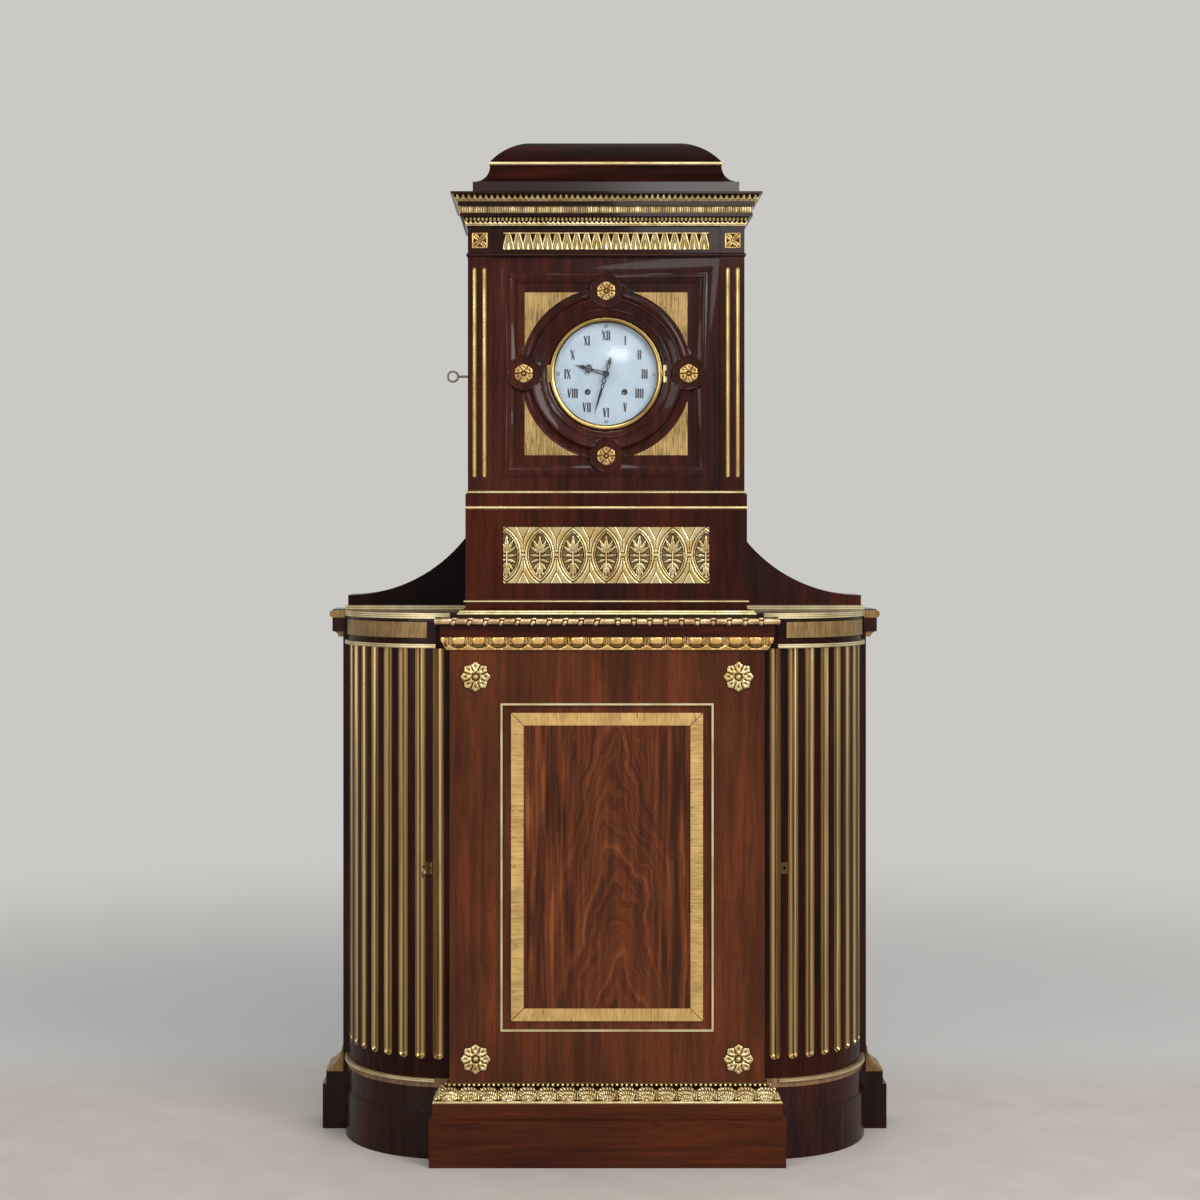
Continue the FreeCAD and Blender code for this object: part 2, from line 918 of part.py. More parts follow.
def top_board():
    radius = wing_radius + top_edge_out
    quarter = wing_wall(0, radius, case_top, deck)
    middle = slab(trunk_half, trunk_front, wing_y, case_top, deck)
    rear = slab(capital_half, wing_y, back, case_top, deck)
    step = slab(top_slab_half, slab_front, back, deck, slab_top)
    clear = cornice_envelope().cut(slab(trunk_half, trunk_front, back, cornice_bottom, slab_top))
    core = slab(top_slab_half, slab_front, back, slab_band_bottom, slab_top)
    strip = slab(trunk_half, trunk_front - overrun, slab_front, slab_band_bottom, slab_top)
    sides = slab(
        top_slab_half + slab_band_out, slab_front, slab_front + slab_band_in,
        slab_band_bottom, slab_top,
    ).cut(core)
    well = slab(well_half, well_front, well_back, case_top - overrun, slab_top + overrun)
    return joined(middle, quarter, mirrored(quarter), rear, step).cut([clear, strip, sides, well])


# Cornice of the trunk

def cornice_front():
    return against_wings(moulding(
        trunk_half, trunk_front, cornice_rear,
        (0, fascia_bottom), (egg_out, fascia_bottom), (egg_out, rope_top), (0, rope_top),
    ), wing_radius + frieze_out)


def rope_moulding():
    return against_wings(moulding(
        trunk_half, trunk_front, cornice_rear,
        (egg_out, rope_bottom + rope_edge), (egg_out, rope_top - rope_edge, -rope_share),
    ), wing_radius + frieze_out)


def egg_moulding():
    return against_wings(moulding(
        trunk_half, trunk_front, cornice_rear,
        (0, cornice_bottom), (egg_foot_out, cornice_bottom),
        (egg_out, fascia_bottom, -egg_share), (0, fascia_bottom),
    ), wing_radius + frieze_out)


def slab_band():
    """The reeded brass edge at the front and sides of the slab under the upper case."""
    return moulding(
        top_slab_half, slab_front, slab_front + slab_band_in,
        (0, slab_band_bottom), (slab_band_out, slab_band_bottom), (0, slab_top),
    )


def wing_mounts():
    """Gilt work on each wing: ribbed frieze plate, foot mount and two capital rings."""
    radius = wing_radius + frieze_out
    plate_top = case_top - frieze_plate_drop
    plate = wing_wall(
        radius, radius + sheet, plate_top - frieze_plate_height, plate_top,
        frieze_plate_start, frieze_plate_end,
    )
    return [*pair(plate), *pair(foot_mount()), *pair(capital_ring()), *pair(capital_neck())]


def foot_mount():
    """A cyma from the foot's top edge in to the pilaster, on the outer side."""
    low = plinth_lower_height + foot_upper_height
    outer = foot_half - foot_step
    return upright(
        wing_y, back_board_face - wing_y,
        (pilaster_half, low), (outer, low), (outer, low + leaf_fillet_height),
        (pilaster_half + pilaster_out, low + foot_mount_height, foot_ogee_share),
        (pilaster_half, low + foot_mount_height),
    )


def capital_ring():
    outer = capital_half + capital_ring_out
    middle = capital_block_top + capital_ring_height / 2
    inner = trunk_half + wing_radius + wing_fillet_out + seat_gap
    return upright(
        wing_y - capital_forward, back_board_face - wing_y + capital_forward,
        (inner, capital_block_top), (capital_half, capital_block_top),
        (outer, middle, capital_ring_share), (capital_half, capital_gilt_top, capital_ring_share),
        (inner, capital_gilt_top),
    ).cut(slab(capital_half, wing_y, back, capital_block_top - overrun, deck))


def capital_neck():
    return upright(
        wing_y, back_board_face - wing_y,
        (pilaster_half, capital_bottom), (capital_half - capital_neck_in, capital_bottom),
        (capital_half, capital_neck_top, capital_neck_share), (pilaster_half, capital_neck_top),
    )


def cabinet_fillets():
    """Brass strings of the lower cabinet: panel bead, wing fillets, wing bands and slab band."""
    plinth_ring = wing_wall(
        wing_radius + wing_upper_out, wing_radius + wing_fillet_out,
        floor_top - wing_fillet_height, floor_top,
    )
    leaf_rear = trunk_inside + leaf_return
    clear_low = slab(trunk_half + leaf_out, front, leaf_rear, plinth_top, floor_top)
    frieze_ring = wing_wall(
        wing_radius + frieze_out, wing_radius + wing_fillet_out,
        frieze_bottom, frieze_bottom + frieze_fillet_height,
    )
    top_ring = wing_wall(
        wing_radius + top_edge_out, wing_radius + wing_fillet_out,
        deck - top_band_height, deck,
    )
    clear = cornice_envelope()
    rings = [plinth_ring.cut(clear_low), frieze_ring.cut(clear), top_ring.cut(clear)]
    sides = [side for ring in rings for side in pair(ring)]
    return [panel_bead(), slab_band(), *sides, *pair(shoulder_band())]


# Shoulders and base tier

def shoulder_band():
    return box(
        top_slab_half, shoulder_half + shoulder_band_out,
        shoulder_y - shoulder_band_out, shoulder_y, deck, deck + shoulder_band_height,
    )


def shoulder_profile(shrink, y, thickness):
    """The concave shoulder, seen from the front: an arc centred above its outer end."""
    outer = shoulder_half - shrink
    inner = tier_half + seat_gap
    foot = deck + shoulder_band_height + shoulder_foot - shrink
    reach = shoulder_radius + shrink
    centre = foot + shrink + shoulder_radius
    rise = centre - sqrt(reach ** 2 - (shoulder_half - inner) ** 2)
    start = centre - sqrt(reach ** 2 - shrink ** 2)
    bulge_share = arc_share(reach, (outer, start), (inner, rise))
    return upright(
        y, thickness,
        (inner, deck), (outer, deck), (outer, start), (inner, rise, bulge_share),
    )


def arc_share(radius, start, end):
    """The bulge of an arc of a given radius, as a share of its chord."""
    chord = sqrt((end[0] - start[0]) ** 2 + (end[1] - start[1]) ** 2)
    sagitta = radius - sqrt(radius ** 2 - chord ** 2 / 4)
    return sagitta / chord


def shoulders():
    whole = shoulder_profile(0, shoulder_y, back - shoulder_y)
    hollow = shoulder_profile(shoulder_board, shoulder_y + shoulder_board, back - shoulder_y)
    step = slab(top_slab_half, shoulder_y, back, deck, slab_top)
    string = slab(
        tier_half + tier_fillet_out, shoulder_y, back,
        tier_fillet_low, tier_fillet_low + tier_fillet_height,
    )
    return pair(whole.cut([hollow, step, string]))


def hood_base():
    whole = slab(tier_half, tier_front, back, slab_top, tier_top)
    hollow = slab(
        tier_half - tier_board, tier_front + tier_board, back - thin_board,
        slab_top - overrun, tier_top - tier_board,
    )
    well = slab(well_half, well_front, well_back, slab_top, tier_top + overrun)
    return whole.cut([hollow, well])


def hood_mounts():
    """Gilt plaques of the base tier and the frieze, and the two corner squares."""
    y = tier_front - plaque_thickness
    plate = slab(plaque_half, y, tier_front, plaque_bottom, plaque_top)
    middle = (plaque_bottom + plaque_top) / 2
    half_height = (plaque_top - plaque_bottom) / 2 * plaque_oval_share
    count = 3
    ovals = []
    for i in range(-count, count + 1):
        x = plaque_oval_pitch * i
        oval = upright(
            y - plaque_oval_raise, plaque_oval_raise,
            (x, middle - half_height), (x, middle + half_height, -plaque_bulge_share),
            (x, middle - half_height, -plaque_bulge_share),
        )
        ovals.append(oval.common(slab(plaque_half, y - overrun, y, plaque_bottom, plaque_top)))
    plaque = joined(plate, *ovals)
    frieze = slab(
        frieze_mount_half, panel_face - sheet, panel_face, frieze_mount_bottom, frieze_mount_top
    )
    square = box(
        corner_mount_x - corner_mount_half, corner_mount_x + corner_mount_half,
        hood_front - sheet, hood_front,
        corner_mount_z - corner_mount_half, corner_mount_z + corner_mount_half,
    )
    return [plaque, frieze, *pair(square)]


# Upper case

def hood_posts():
    shaft = box(
        hood_half - post_width, hood_half, hood_front, hood_front + post_depth,
        tier_top, frieze_fillet_low,
    )
    cutters = [post_flute(post_flute_radius, x, 0) for x in (post_flute_inner, post_flute_outer)]
    right = shaft.cut(cutters)
    slot = hood_bolt_box(bolt_clearance).translated(Vector(0, -bolt_throw, 0))
    return [right, mirrored(right).cut(slot)]


def post_flute(radius, x, shrink):
    """A round-ended trough in the face of a corner post."""
    y = hood_front - post_flute_radius + post_flute_depth
    low = post_flute_bottom + post_flute_radius
    high = post_flute_top - post_flute_radius
    bar = post(x, y, low, high, radius)
    return bar.fuse([
        Part.makeSphere(radius, Vector(x, y, low)),
        Part.makeSphere(radius, Vector(x, y, high)),
    ])


def hood_flutes():
    linings = []
    for x in (post_flute_inner, post_flute_outer):
        inner = post_flute(post_flute_radius - post_flute_lining, x, 0)
        lining = post_flute(post_flute_radius, x, 0).cut(inner)
        linings.extend(pair(lining.common(slab(
            hood_half, hood_front, hood_front + post_depth, tier_top, frieze_fillet_low
        ))))
    return linings


def bevelled_frame():
    """The raised frame of the hood front, sloping up from both edges to a flat crown."""
    low = dial_z - frame_half
    high = dial_z + frame_half
    y = panel_face

    def frustum(inset0, y0, inset1, y1):
        wires = [
            rectangle(frame_half - inset0, low + inset0, high - inset0, y0),
            rectangle(frame_half - inset1, low + inset1, high - inset1, y1),
        ]
        return Part.makeLoft(wires, True, True)

    base = frustum(0, y, 0, y - frame_edge)
    crown = frustum(0, y - frame_edge, frame_crown_in, y - frame_height)
    crown_end = frame_crown_in + frame_crown_width
    hole = frustum(frame_width, y + overrun, frame_width, y - frame_edge)
    slope = frustum(frame_width, y - frame_edge, crown_end, y - frame_height)
    return joined(base, crown).cut(joined(hole, slope))


def dial_ring():
    y = panel_face
    return dial_turned(
        (ring_rebate, y), (ring_rebate, y - ring_rebate_height),
        (ring_inner - ring_bead, y - ring_inner_height),
        (ring_inner + ring_bead, y - ring_inner_height, -ring_bead_share),
        (ring_ridge - ring_bead, y - ring_ridge_height),
        (ring_ridge + ring_bead, y - ring_ridge_height, -ring_ridge_share),
        (ring_outer, y - ring_edge_height, -ring_cove_share),
        (ring_outer, y),
    )


def ear_places():
    return [(0, ear_place), (0, -ear_place), (ear_place, 0), (-ear_place, 0)]


def ears():
    return [
        pin(x, panel_face - ear_height, panel_face, dial_z + z, ear_radius)
        for x, z in ear_places()
    ]


def ear_dishes():
    face = panel_face - ear_height
    return [
        pin(x, face - overrun, face + ear_sink, dial_z + z, ear_radius - ear_rim)
        for x, z in ear_places()
    ]


def hood_panel():
    """Board, raised frame, dial ring and rosette bosses, cut for the dial."""
    inner = hood_half - post_width
    plain = slab(inner, panel_face, panel_rear, tier_top, frieze_fillet_low)
    hole = pin(0, front, back, dial_z, dial_hole_radius)
    nest = pin(0, front, panel_face, dial_z, ring_rebate)
    whole = joined(plain, bevelled_frame(), dial_ring(), *ears())
    return whole.cut([hole, nest, *ear_dishes()])


def spandrels():
    y = panel_face - spandrel_thickness
    square = slab(
        spandrel_half, y, panel_face, dial_z - spandrel_half, dial_z + spandrel_half
    )
    ring = pin(0, y - overrun, panel_face + overrun, dial_z, ring_outer + seat_gap)
    bosses = [
        pin(x, y - overrun, panel_face + overrun, dial_z + z, ear_radius + seat_gap)
        for x, z in ear_places()
    ]
    return square.cut([ring, *bosses]).Solids


def rosette(x, face, z, radius):
    """A petalled disc with a boss, its back on a face that looks to -Y."""
    points = []
    for i in range(rosette_petals * 2):
        reach = radius if i % 2 == 0 else radius * petal_notch_share
        angle = radians(180 * i / rosette_petals)
        points.append(Vector(x + reach * sin(angle), face, z + reach * cos(angle)))
    points.append(points[0])
    thickness = rosette_thickness * radius / rosette_radius
    petals = Part.Face(Part.makePolygon(points)).extrude(Vector(0, -thickness, 0))
    rise = rosette_boss * radius / rosette_radius
    boss = Part.makeCone(
        radius * boss_share, radius * boss_share / 2, rise, Vector(x, face, z), Vector(0, -1, 0)
    )
    return joined(petals, boss)


def rosettes():
    large = [
        rosette(x, trunk_front, z, rosette_radius)
        for x in (-rosette_x, rosette_x)
        for z in (rosette_low, rosette_high)
    ]
    small = [
        rosette(x, panel_face - ear_height + ear_sink, dial_z + z, small_rosette_radius)
        for x, z in ear_places()
    ]
    return large + small


def hood_case():
    """Right side, back and top of the upper case, and the rails round its left door."""
    behind = hood_front + post_depth
    side = box(hood_half - hood_board, hood_half, behind, back, tier_top, frieze_fillet_top)
    rear = slab(hood_half, back - thin_board, back, tier_top, frieze_fillet_top)
    low_rail = box(-hood_half, -hood_half + hood_board, behind, back, tier_top, side_rail_low)
    high_rail = box(
        -hood_half, -hood_half + hood_board, behind, back, side_rail_high, frieze_fillet_top
    )
    stile = box(
        -hood_half, -hood_half + hood_board, hood_door_back + door_gap, back,
        tier_top, frieze_fillet_top,
    )
    low_hole = post(
        hood_pivot_x, hood_pivot_y, side_rail_low - pivot_length, side_rail_low,
        pivot_radius + running,
    )
    high_hole = post(
        hood_pivot_x, hood_pivot_y, side_rail_high, side_rail_high + pivot_length,
        pivot_radius + running,
    )
    return joined(side, rear, low_rail, high_rail, stile).cut([low_hole, high_hole])


def hood_frieze():
    """Frieze boards with a block breaking forward over each post, and the lid of the case."""
    ring = slab(hood_half, panel_face, back, frieze_fillet_top, hood_top)
    block = box(
        frieze_block_inner, hood_half, hood_front, panel_face, frieze_fillet_top, hood_top
    )
    hollow = slab(
        hood_half - hood_board, panel_rear, back - thin_board,
        frieze_fillet_top - overrun, hood_top - thin_board,
    )
    return joined(ring, *pair(block)).cut(hollow)


def hood_cornice():
    """A hollow cornice whose steps carry the gilt mouldings."""
    low_top = hood_top + low_leaf_height
    band_top = cornice_band_bottom + cornice_band_height
    high_top = high_leaf_bottom + high_leaf_height
    low_out = low_leaf_out + low_leaf_spread
    high_out = high_leaf_out + high_leaf_spread
    ring = moulding(
        hood_half, hood_front, back,
        (-cornice_wood, hood_top), (low_leaf_out - trim, hood_top),
        (low_leaf_out - trim, hood_top + cornice_step),
        (low_out - trim, low_top), (cornice_band_out, low_top),
        (cornice_band_out, cornice_band_bottom), (cornice_band_out - trim, cornice_band_bottom),
        (cornice_band_out - trim, band_top), (cornice_band_out, band_top),
        (high_leaf_out, band_top), (high_leaf_out, high_leaf_bottom),
        (high_leaf_out - trim, high_leaf_bottom), (high_out - trim, high_top),
        (cornice_out, high_top), (cornice_out, cornice_top), (-cornice_wood, cornice_top),
    )
    rail = slab(hood_half - cornice_wood, back - cornice_rail, back, hood_top, cornice_top)
    return joined(ring, rail)


def cornice_mounts():
    """Lower leaf moulding, ribbed band and upper leaf moulding of the cornice."""
    low_top = hood_top + low_leaf_height
    band_top = cornice_band_bottom + cornice_band_height
    high_top = high_leaf_bottom + high_leaf_height
    low_out = low_leaf_out + low_leaf_spread
    high_out = high_leaf_out + high_leaf_spread
    low_leaf = moulding(
        hood_half, hood_front, back,
        (low_leaf_out - trim, hood_top), (low_leaf_out, hood_top),
        (low_leaf_out, hood_top + cornice_step), (low_out, low_top, cornice_leaf_share),
        (low_out - trim, low_top), (low_leaf_out - trim, hood_top + cornice_step),
    )
    band = moulding(
        hood_half, hood_front, back,
        (cornice_band_out - trim, cornice_band_bottom), (cornice_band_out, cornice_band_bottom),
        (cornice_band_out, band_top), (cornice_band_out - trim, band_top),
    )
    high_leaf = moulding(
        hood_half, hood_front, back,
        (high_leaf_out - trim, high_leaf_bottom), (high_leaf_out, high_leaf_bottom),
        (high_out, high_top, cornice_leaf_share), (high_out - trim, high_top),
    )
    return [low_leaf, band, high_leaf]


def caddy_section(half, middle, shrink):
    """Half of the caddy's outline, both sides: plinth, cove, fillet step and dome."""
    base = half - shrink
    plinth_z = cornice_top + caddy_plinth_height - shrink
    neck = half - caddy_cove_in - shrink
    dome = half - caddy_dome_in - shrink
    cove_z = caddy_cove_top - shrink
    dome_foot = cove_z + caddy_fillet_height
    top = caddy_top_z - shrink
    return [
        (middle + base, cornice_top - (overrun if shrink else 0)),
        (middle + base, plinth_z),
        (middle + neck, cove_z, caddy_cove_share),
        (middle + neck, dome_foot),
        (middle + dome, top, caddy_dome_share),
        (middle - dome, top),
        (middle - neck, dome_foot, caddy_dome_share),
        (middle - neck, cove_z),
        (middle - base, plinth_z, caddy_cove_share),
        (middle - base, cornice_top - (overrun if shrink else 0)),
    ]


def caddy_solid(shrink):
    """The same outline seen from the front and from the side, so that the corners are mitred."""
    y0 = hood_front + caddy_inset
    half_y = (back - caddy_inset - y0) / 2
    middle_y = y0 + half_y
    across = upright(front, overall_depth, *caddy_section(caddy_half, 0, shrink))
    steps = caddy_section(half_y, middle_y, shrink)
    face = Part.Face(outline(lambda y, z: Vector(-foot_half, y, z), *steps))
    return across.common(face.extrude(Vector(foot_half * 2, 0, 0)))


def caddy_top():
    return caddy_solid(0).cut(caddy_solid(caddy_board))


def caddy_fillet():
    """The brass string round the neck of the caddy."""
    y0 = hood_front + caddy_inset + caddy_cove_in
    y1 = back - caddy_inset - caddy_cove_in
    half = caddy_half - caddy_cove_in
    top = caddy_cove_top + caddy_fillet_height
    out = caddy_fillet_out
    whole = slab(half + out, y0 - out, y1 + out, caddy_cove_top, top)
    return whole.cut(slab(half, y0, y1, caddy_cove_top - overrun, top + overrun))


def tier_fillet(low, high, out):
    return moulding(
        tier_half, tier_front, back, (0, low), (out, low), (out, high), (0, high)
    )


def hood_fillets():
    """Brass strings of the upper case."""
    low = tier_fillet(tier_fillet_low, tier_fillet_low + tier_fillet_height, tier_fillet_out)
    high = tier_fillet(tier_fillet_high, tier_fillet_high + tier_fillet_height, tier_fillet_in)
    foot = moulding(
        hood_half, hood_front, back,
        (0, tier_top), (tier_half - hood_half, tier_top),
        (tier_half - hood_half, tier_top + hood_base_fillet), (0, tier_top + hood_base_fillet),
    )
    head = slab(
        hood_half + tier_fillet_in, hood_front - tier_fillet_in, hood_front + post_depth,
        frieze_fillet_low, frieze_fillet_top,
    )
    behind = slab(hood_half - post_width, panel_rear, back, frieze_fillet_low, frieze_fillet_top)
    return [low, high, foot, head.cut(behind), caddy_fillet()]


# Side door of the upper case

def hood_door():
    x0 = -hood_half
    x1 = -hood_half + hood_board
    low = side_rail_low + door_gap
    high = side_rail_high - door_gap
    leaf = box(x0, x1, hood_door_front, hood_pivot_y, low, high)
    hanging = post(hood_pivot_x, hood_pivot_y, low, high, hood_board / 2)
    return joined(leaf, hanging).cut(hood_keyhole(keyhole_radius, x0 - overrun, x1 + overrun))


def hood_key_y():
    return hood_door_front + lock_inset + lock_width - hood_key_inset


def hood_keyhole(radius, x0, x1):
    return Part.makeCylinder(radius, x1 - x0, Vector(x0, hood_key_y(), dial_z), Vector(1, 0, 0))


def hood_bolt_box(clearance):
    x = -hood_half + hood_board + lock_depth / 2
    y0 = hood_door_front + lock_inset
    return box(
        x - bolt_thickness / 2 - clearance, x + bolt_thickness / 2 + clearance,
        y0 - clearance, y0 + bolt_width + clearance,
        dial_z - bolt_height / 2 - clearance, dial_z + bolt_height / 2 + clearance,
    )


def hood_lock():
    """Rim lock, escutcheon and pivots of the side door."""
    x1 = -hood_half + hood_board
    y0 = hood_door_front + lock_inset
    block = box(
        x1, x1 + lock_depth, y0, y0 + lock_width,
        dial_z - lock_height / 2, dial_z + lock_height / 2,
    )
    slot = hood_bolt_box(bolt_clearance)
    way = slot.fuse(slot.translated(Vector(0, -bolt_throw - overrun, 0)))
    key_end = -hood_half + key_depth + seat_gap
    lock = block.cut([way, hood_keyhole(keyhole_radius, x1 - overrun, key_end)])
    plate = box(
        -hood_half - escutcheon_thickness, -hood_half,
        hood_key_y() - escutcheon_half, hood_key_y() + escutcheon_half,
        dial_z - escutcheon_height / 2, dial_z + escutcheon_height / 2,
    ).cut(hood_keyhole(keyhole_radius, -hood_half - overrun, -hood_half + overrun))
    low = side_rail_low + door_gap
    high = side_rail_high - door_gap
    low_pin = post(hood_pivot_x, hood_pivot_y, low - pivot_length, low, pivot_radius)
    high_pin = post(hood_pivot_x, hood_pivot_y, high, high + pivot_length, pivot_radius)
    return [lock, plate, low_pin, high_pin]


def hood_bolt():
    return hood_bolt_box(0)


def hood_key():
    key = key_shape(key_reach - key_bow_radius, key_depth)
    key.rotate(Vector(0, 0, 0), Vector(0, 0, 1), 180)
    key.translate(Vector(-hood_half, hood_key_y(), dial_z))
    return key


# Dial, bezel and hands

def dial():
    disc = pin(0, dial_face, dial_face + dial_thickness, dial_z, dial_radius)
    y0 = dial_face - overrun
    y1 = dial_face + overrun
    centre = pin(0, y0, y1, dial_z, hour_pipe_radius + seat_gap)
    winding = pin(winding_x, y0, y1, dial_z - winding_drop, winding_hole_radius)
    feet = [
        pin(x * dial_foot_place, dial_face + dial_thickness, front_plate,
            dial_z + z * dial_foot_place, dial_foot_radius)
        for x, z in ((-1, 1), (1, 1), (-1, -1), (1, -1))
    ]
    return joined(disc, *feet).cut([centre, *pair(winding)])


def bezel():
    """The brass ring with its rebate for the glass, its hinge barrel and its catch tab."""
    rear = panel_face - seat_gap
    face = rear - bezel_depth
    ring = dial_turned(
        (bezel_inner, rear), (bezel_inner, face + bezel_lip),
        (bezel_radius - bezel_lip * 2, face), (bezel_radius - bezel_lip, face),
        (bezel_radius, face + bezel_lip, bezel_lip_share), (bezel_radius, rear),
    )
    rebate = pin(0, face + bezel_depth / 2, rear + overrun, dial_z,
                 bezel_inner + bezel_lip)
    y = bezel_hinge_y()
    third = bezel_hinge_length / 3
    barrel = post(bezel_hinge_x, y, dial_z - third / 2, dial_z + third / 2, bezel_hinge_radius)
    half = bezel_hinge_length / 2
    wire = post(bezel_hinge_x, y, dial_z - half, dial_z + half, bezel_hinge_pin)
    leaf = box(bezel_radius - bezel_lip, bezel_hinge_x, y, y + bezel_tab_thickness,
               dial_z - third / 2, dial_z + third / 2)
    tab = box(-bezel_hinge_x - bezel_hinge_radius, -bezel_radius + bezel_lip,
              y, y + bezel_tab_thickness, dial_z - half, dial_z + half)
    return joined(ring.cut(rebate), leaf, barrel, wire, tab)


def bezel_hinge_y():
    return panel_face - bezel_hinge_rise


def bezel_hinge():
    """The fixed knuckles of the bezel's hinge, on the ring of the hood front."""
    y = bezel_hinge_y()
    half = bezel_hinge_length / 2
    third = bezel_hinge_length / 6 + seat_gap
    knuckle = post(bezel_hinge_x, y, dial_z + third, dial_z + half, bezel_hinge_radius)
    lug = box(
        bezel_hinge_x, bezel_hinge_x + bezel_hinge_radius * 2, y, panel_face - ring_edge_height,
        dial_z + third, dial_z + half,
    )
    hole = post(bezel_hinge_x, y, dial_z, dial_z + half + overrun, bezel_hinge_pin + running)
    upper = joined(knuckle, lug).cut([hole, dial_ring()])
    lower = upper.mirror(Vector(0, 0, dial_z), Vector(0, 0, 1))
    return [upper, lower]


def glass():
    """A shallow dome whose flat edge sits in the bezel's rebate."""
    half = bezel_inner - seat_gap
    edge = bezel_inner + bezel_lip - seat_gap
    y = panel_face - seat_gap - bezel_depth / 2
    radius = (half ** 2 + glass_rise ** 2) / (2 * glass_rise)
    share = half_cap_share(radius, half)
    return dial_turned(
        (0, y - glass_rise + glass_thickness), (half, y + glass_thickness, -share),
        (edge, y + glass_thickness), (edge, y), (half, y), (0, y - glass_rise, share),
    )


def half_cap_share(radius, half):
    """The bulge of half a shallow cap, from its crown to its edge."""
    rise = radius - sqrt(radius ** 2 - half ** 2)
    chord = sqrt(half ** 2 + rise ** 2)
    return (radius - sqrt(radius ** 2 - chord ** 2 / 4)) / chord


def hand(y, length, width, tail, tail_width, angle):
    """A tapering hand with a leaf-shaped tail, turned clockwise from twelve."""
    swell = length * hand_swell_share
    blade = upright(
        y, hand_thickness,
        (-width * hand_tip_share, 0), (-width / 2, swell, hand_bow_share),
        (0, length, hand_bow_share), (width / 2, swell, hand_bow_share),
        (width * hand_tip_share, 0, hand_bow_share),
    )
    boss = pin(0, y, y + hand_thickness, 0, hand_boss)
    parts = [blade, boss]
    if tail:
        parts.append(upright(
            y, hand_thickness,
            (0, -tail), (tail_width / 2, -tail * hand_swell_share, -hand_bow_share),
            (0, 0, -hand_bow_share), (-tail_width / 2, -tail * hand_swell_share, -hand_bow_share),
        ))
    shape = joined(*parts)
    shape.rotate(Vector(0, 0, 0), Vector(0, 1, 0), angle)
    shape.translate(Vector(0, 0, dial_z))
    return shape


def hour_hand():
    y = hour_hand_front
    pipe = pin(0, y, front_plate - seat_gap, dial_z, hour_pipe_radius)
    bore = pin(0, y - overrun, front_plate, dial_z, minute_arbor_radius + running)
    return joined(hand(y, hour_length, hour_width, 0, 0, hour_angle), pipe).cut(bore)


def minute_hand():
    y = minute_hand_front
    rear = back_plate + plate_thickness
    arbor = pin(0, y, rear, dial_z, minute_arbor_radius)
    nut = pin(0, y - hand_thickness, y, dial_z, hour_pipe_radius)
    shape = hand(y, minute_length, minute_width, minute_tail, minute_width, minute_angle)
    return joined(shape, arbor, nut)


# Movement

def movement_frame():
    """Plates, pillars, dust covers and the cock that carries the pendulum."""
    rear_face = back_plate + plate_thickness
    plate = box(-plate_half, plate_half, front_plate, front_plate + plate_thickness,
                movement_bottom, movement_top)
    rear = box(-plate_half, plate_half, back_plate, rear_face, movement_bottom, movement_top)
    ends = (front_plate + plate_thickness, back_plate)
    low_pillar = pin(plate_half - pillar_inset, *ends, movement_bottom + pillar_inset, pillar_radius)
    top_pillar = pin(pillar_top_x, *ends, movement_top - pillar_inset, pillar_radius)
    cover = box(
        cover_half, cover_half + cover_thickness, front_plate + plate_thickness, back_plate,
        cover_bottom, movement_top,
    )
    lid = slab(
        cover_half, front_plate + plate_thickness, back_plate,
        movement_top - cover_thickness, movement_top,
    )
    cock_low = swing_z + cock_rise
    cock = slab(cock_half, rear_face, cock_rear, cock_low, cock_low + cock_height)
    lug = slab(cock_half, lug_front, lug_front + cock_lug, swing_z - cock_height, cock_low)
    holes = [
        pin(0, front_plate - overrun, rear_face + overrun, dial_z, minute_arbor_radius + running),
        pin(hammer_x, front_plate - overrun, rear_face + overrun, hammer_z,
            hammer_arbor_radius + running),
        pin(0, front_plate - overrun, lug_front + cock_lug + overrun, swing_z,
            crutch_arbor_radius + running),
    ]
    holes.extend(pair(pin(
        winding_x, front_plate - overrun, rear_face + overrun, dial_z - winding_drop,
        barrel_arbor_radius + running,
    )))
    whole = joined(
        plate, rear, *pair(low_pillar), *pair(top_pillar), *pair(cover), lid, cock, lug,
        *bell_standard(),
    )
    return whole.cut(holes)


def bell_standard():
    """The post, the collar under the bell's crown and the nut on top of it."""
    crown = bell_z + bell_height
    under = crown - bell_wall
    rod = post(bell_x, bell_y, movement_top, crown + bell_collar_height, bell_post_radius)
    collar = post(bell_x, bell_y, under - bell_collar_height, under, bell_collar_radius)
    nut = post(bell_x, bell_y, crown, crown + bell_collar_height, bell_collar_radius)
    return [rod, collar, nut]


def barrel():
    """A line barrel on its arbor, with a winding square towards the dial."""
    z = dial_z - winding_drop
    rear = back_plate + plate_thickness
    length = barrel_length
    y0 = weight_y - length / 2
    y1 = weight_y + length / 2
    drum = pin(winding_x, y0, y1, z, barrel_radius)
    outer = barrel_radius + barrel_flange_out
    flanges = [
        pin(winding_x, y0, y0 + barrel_flange, z, outer),
        pin(winding_x, y1 - barrel_flange, y1, z, outer),
    ]
    arbor = pin(winding_x, front_plate - plate_thickness, rear, z, barrel_arbor_radius)
    half = square_side / 2
    square = box(
        winding_x - half, winding_x + half, dial_face + dial_thickness + square_setback,
        front_plate, z - half, z + half,
    )
    return joined(drum, *flanges, arbor, square)


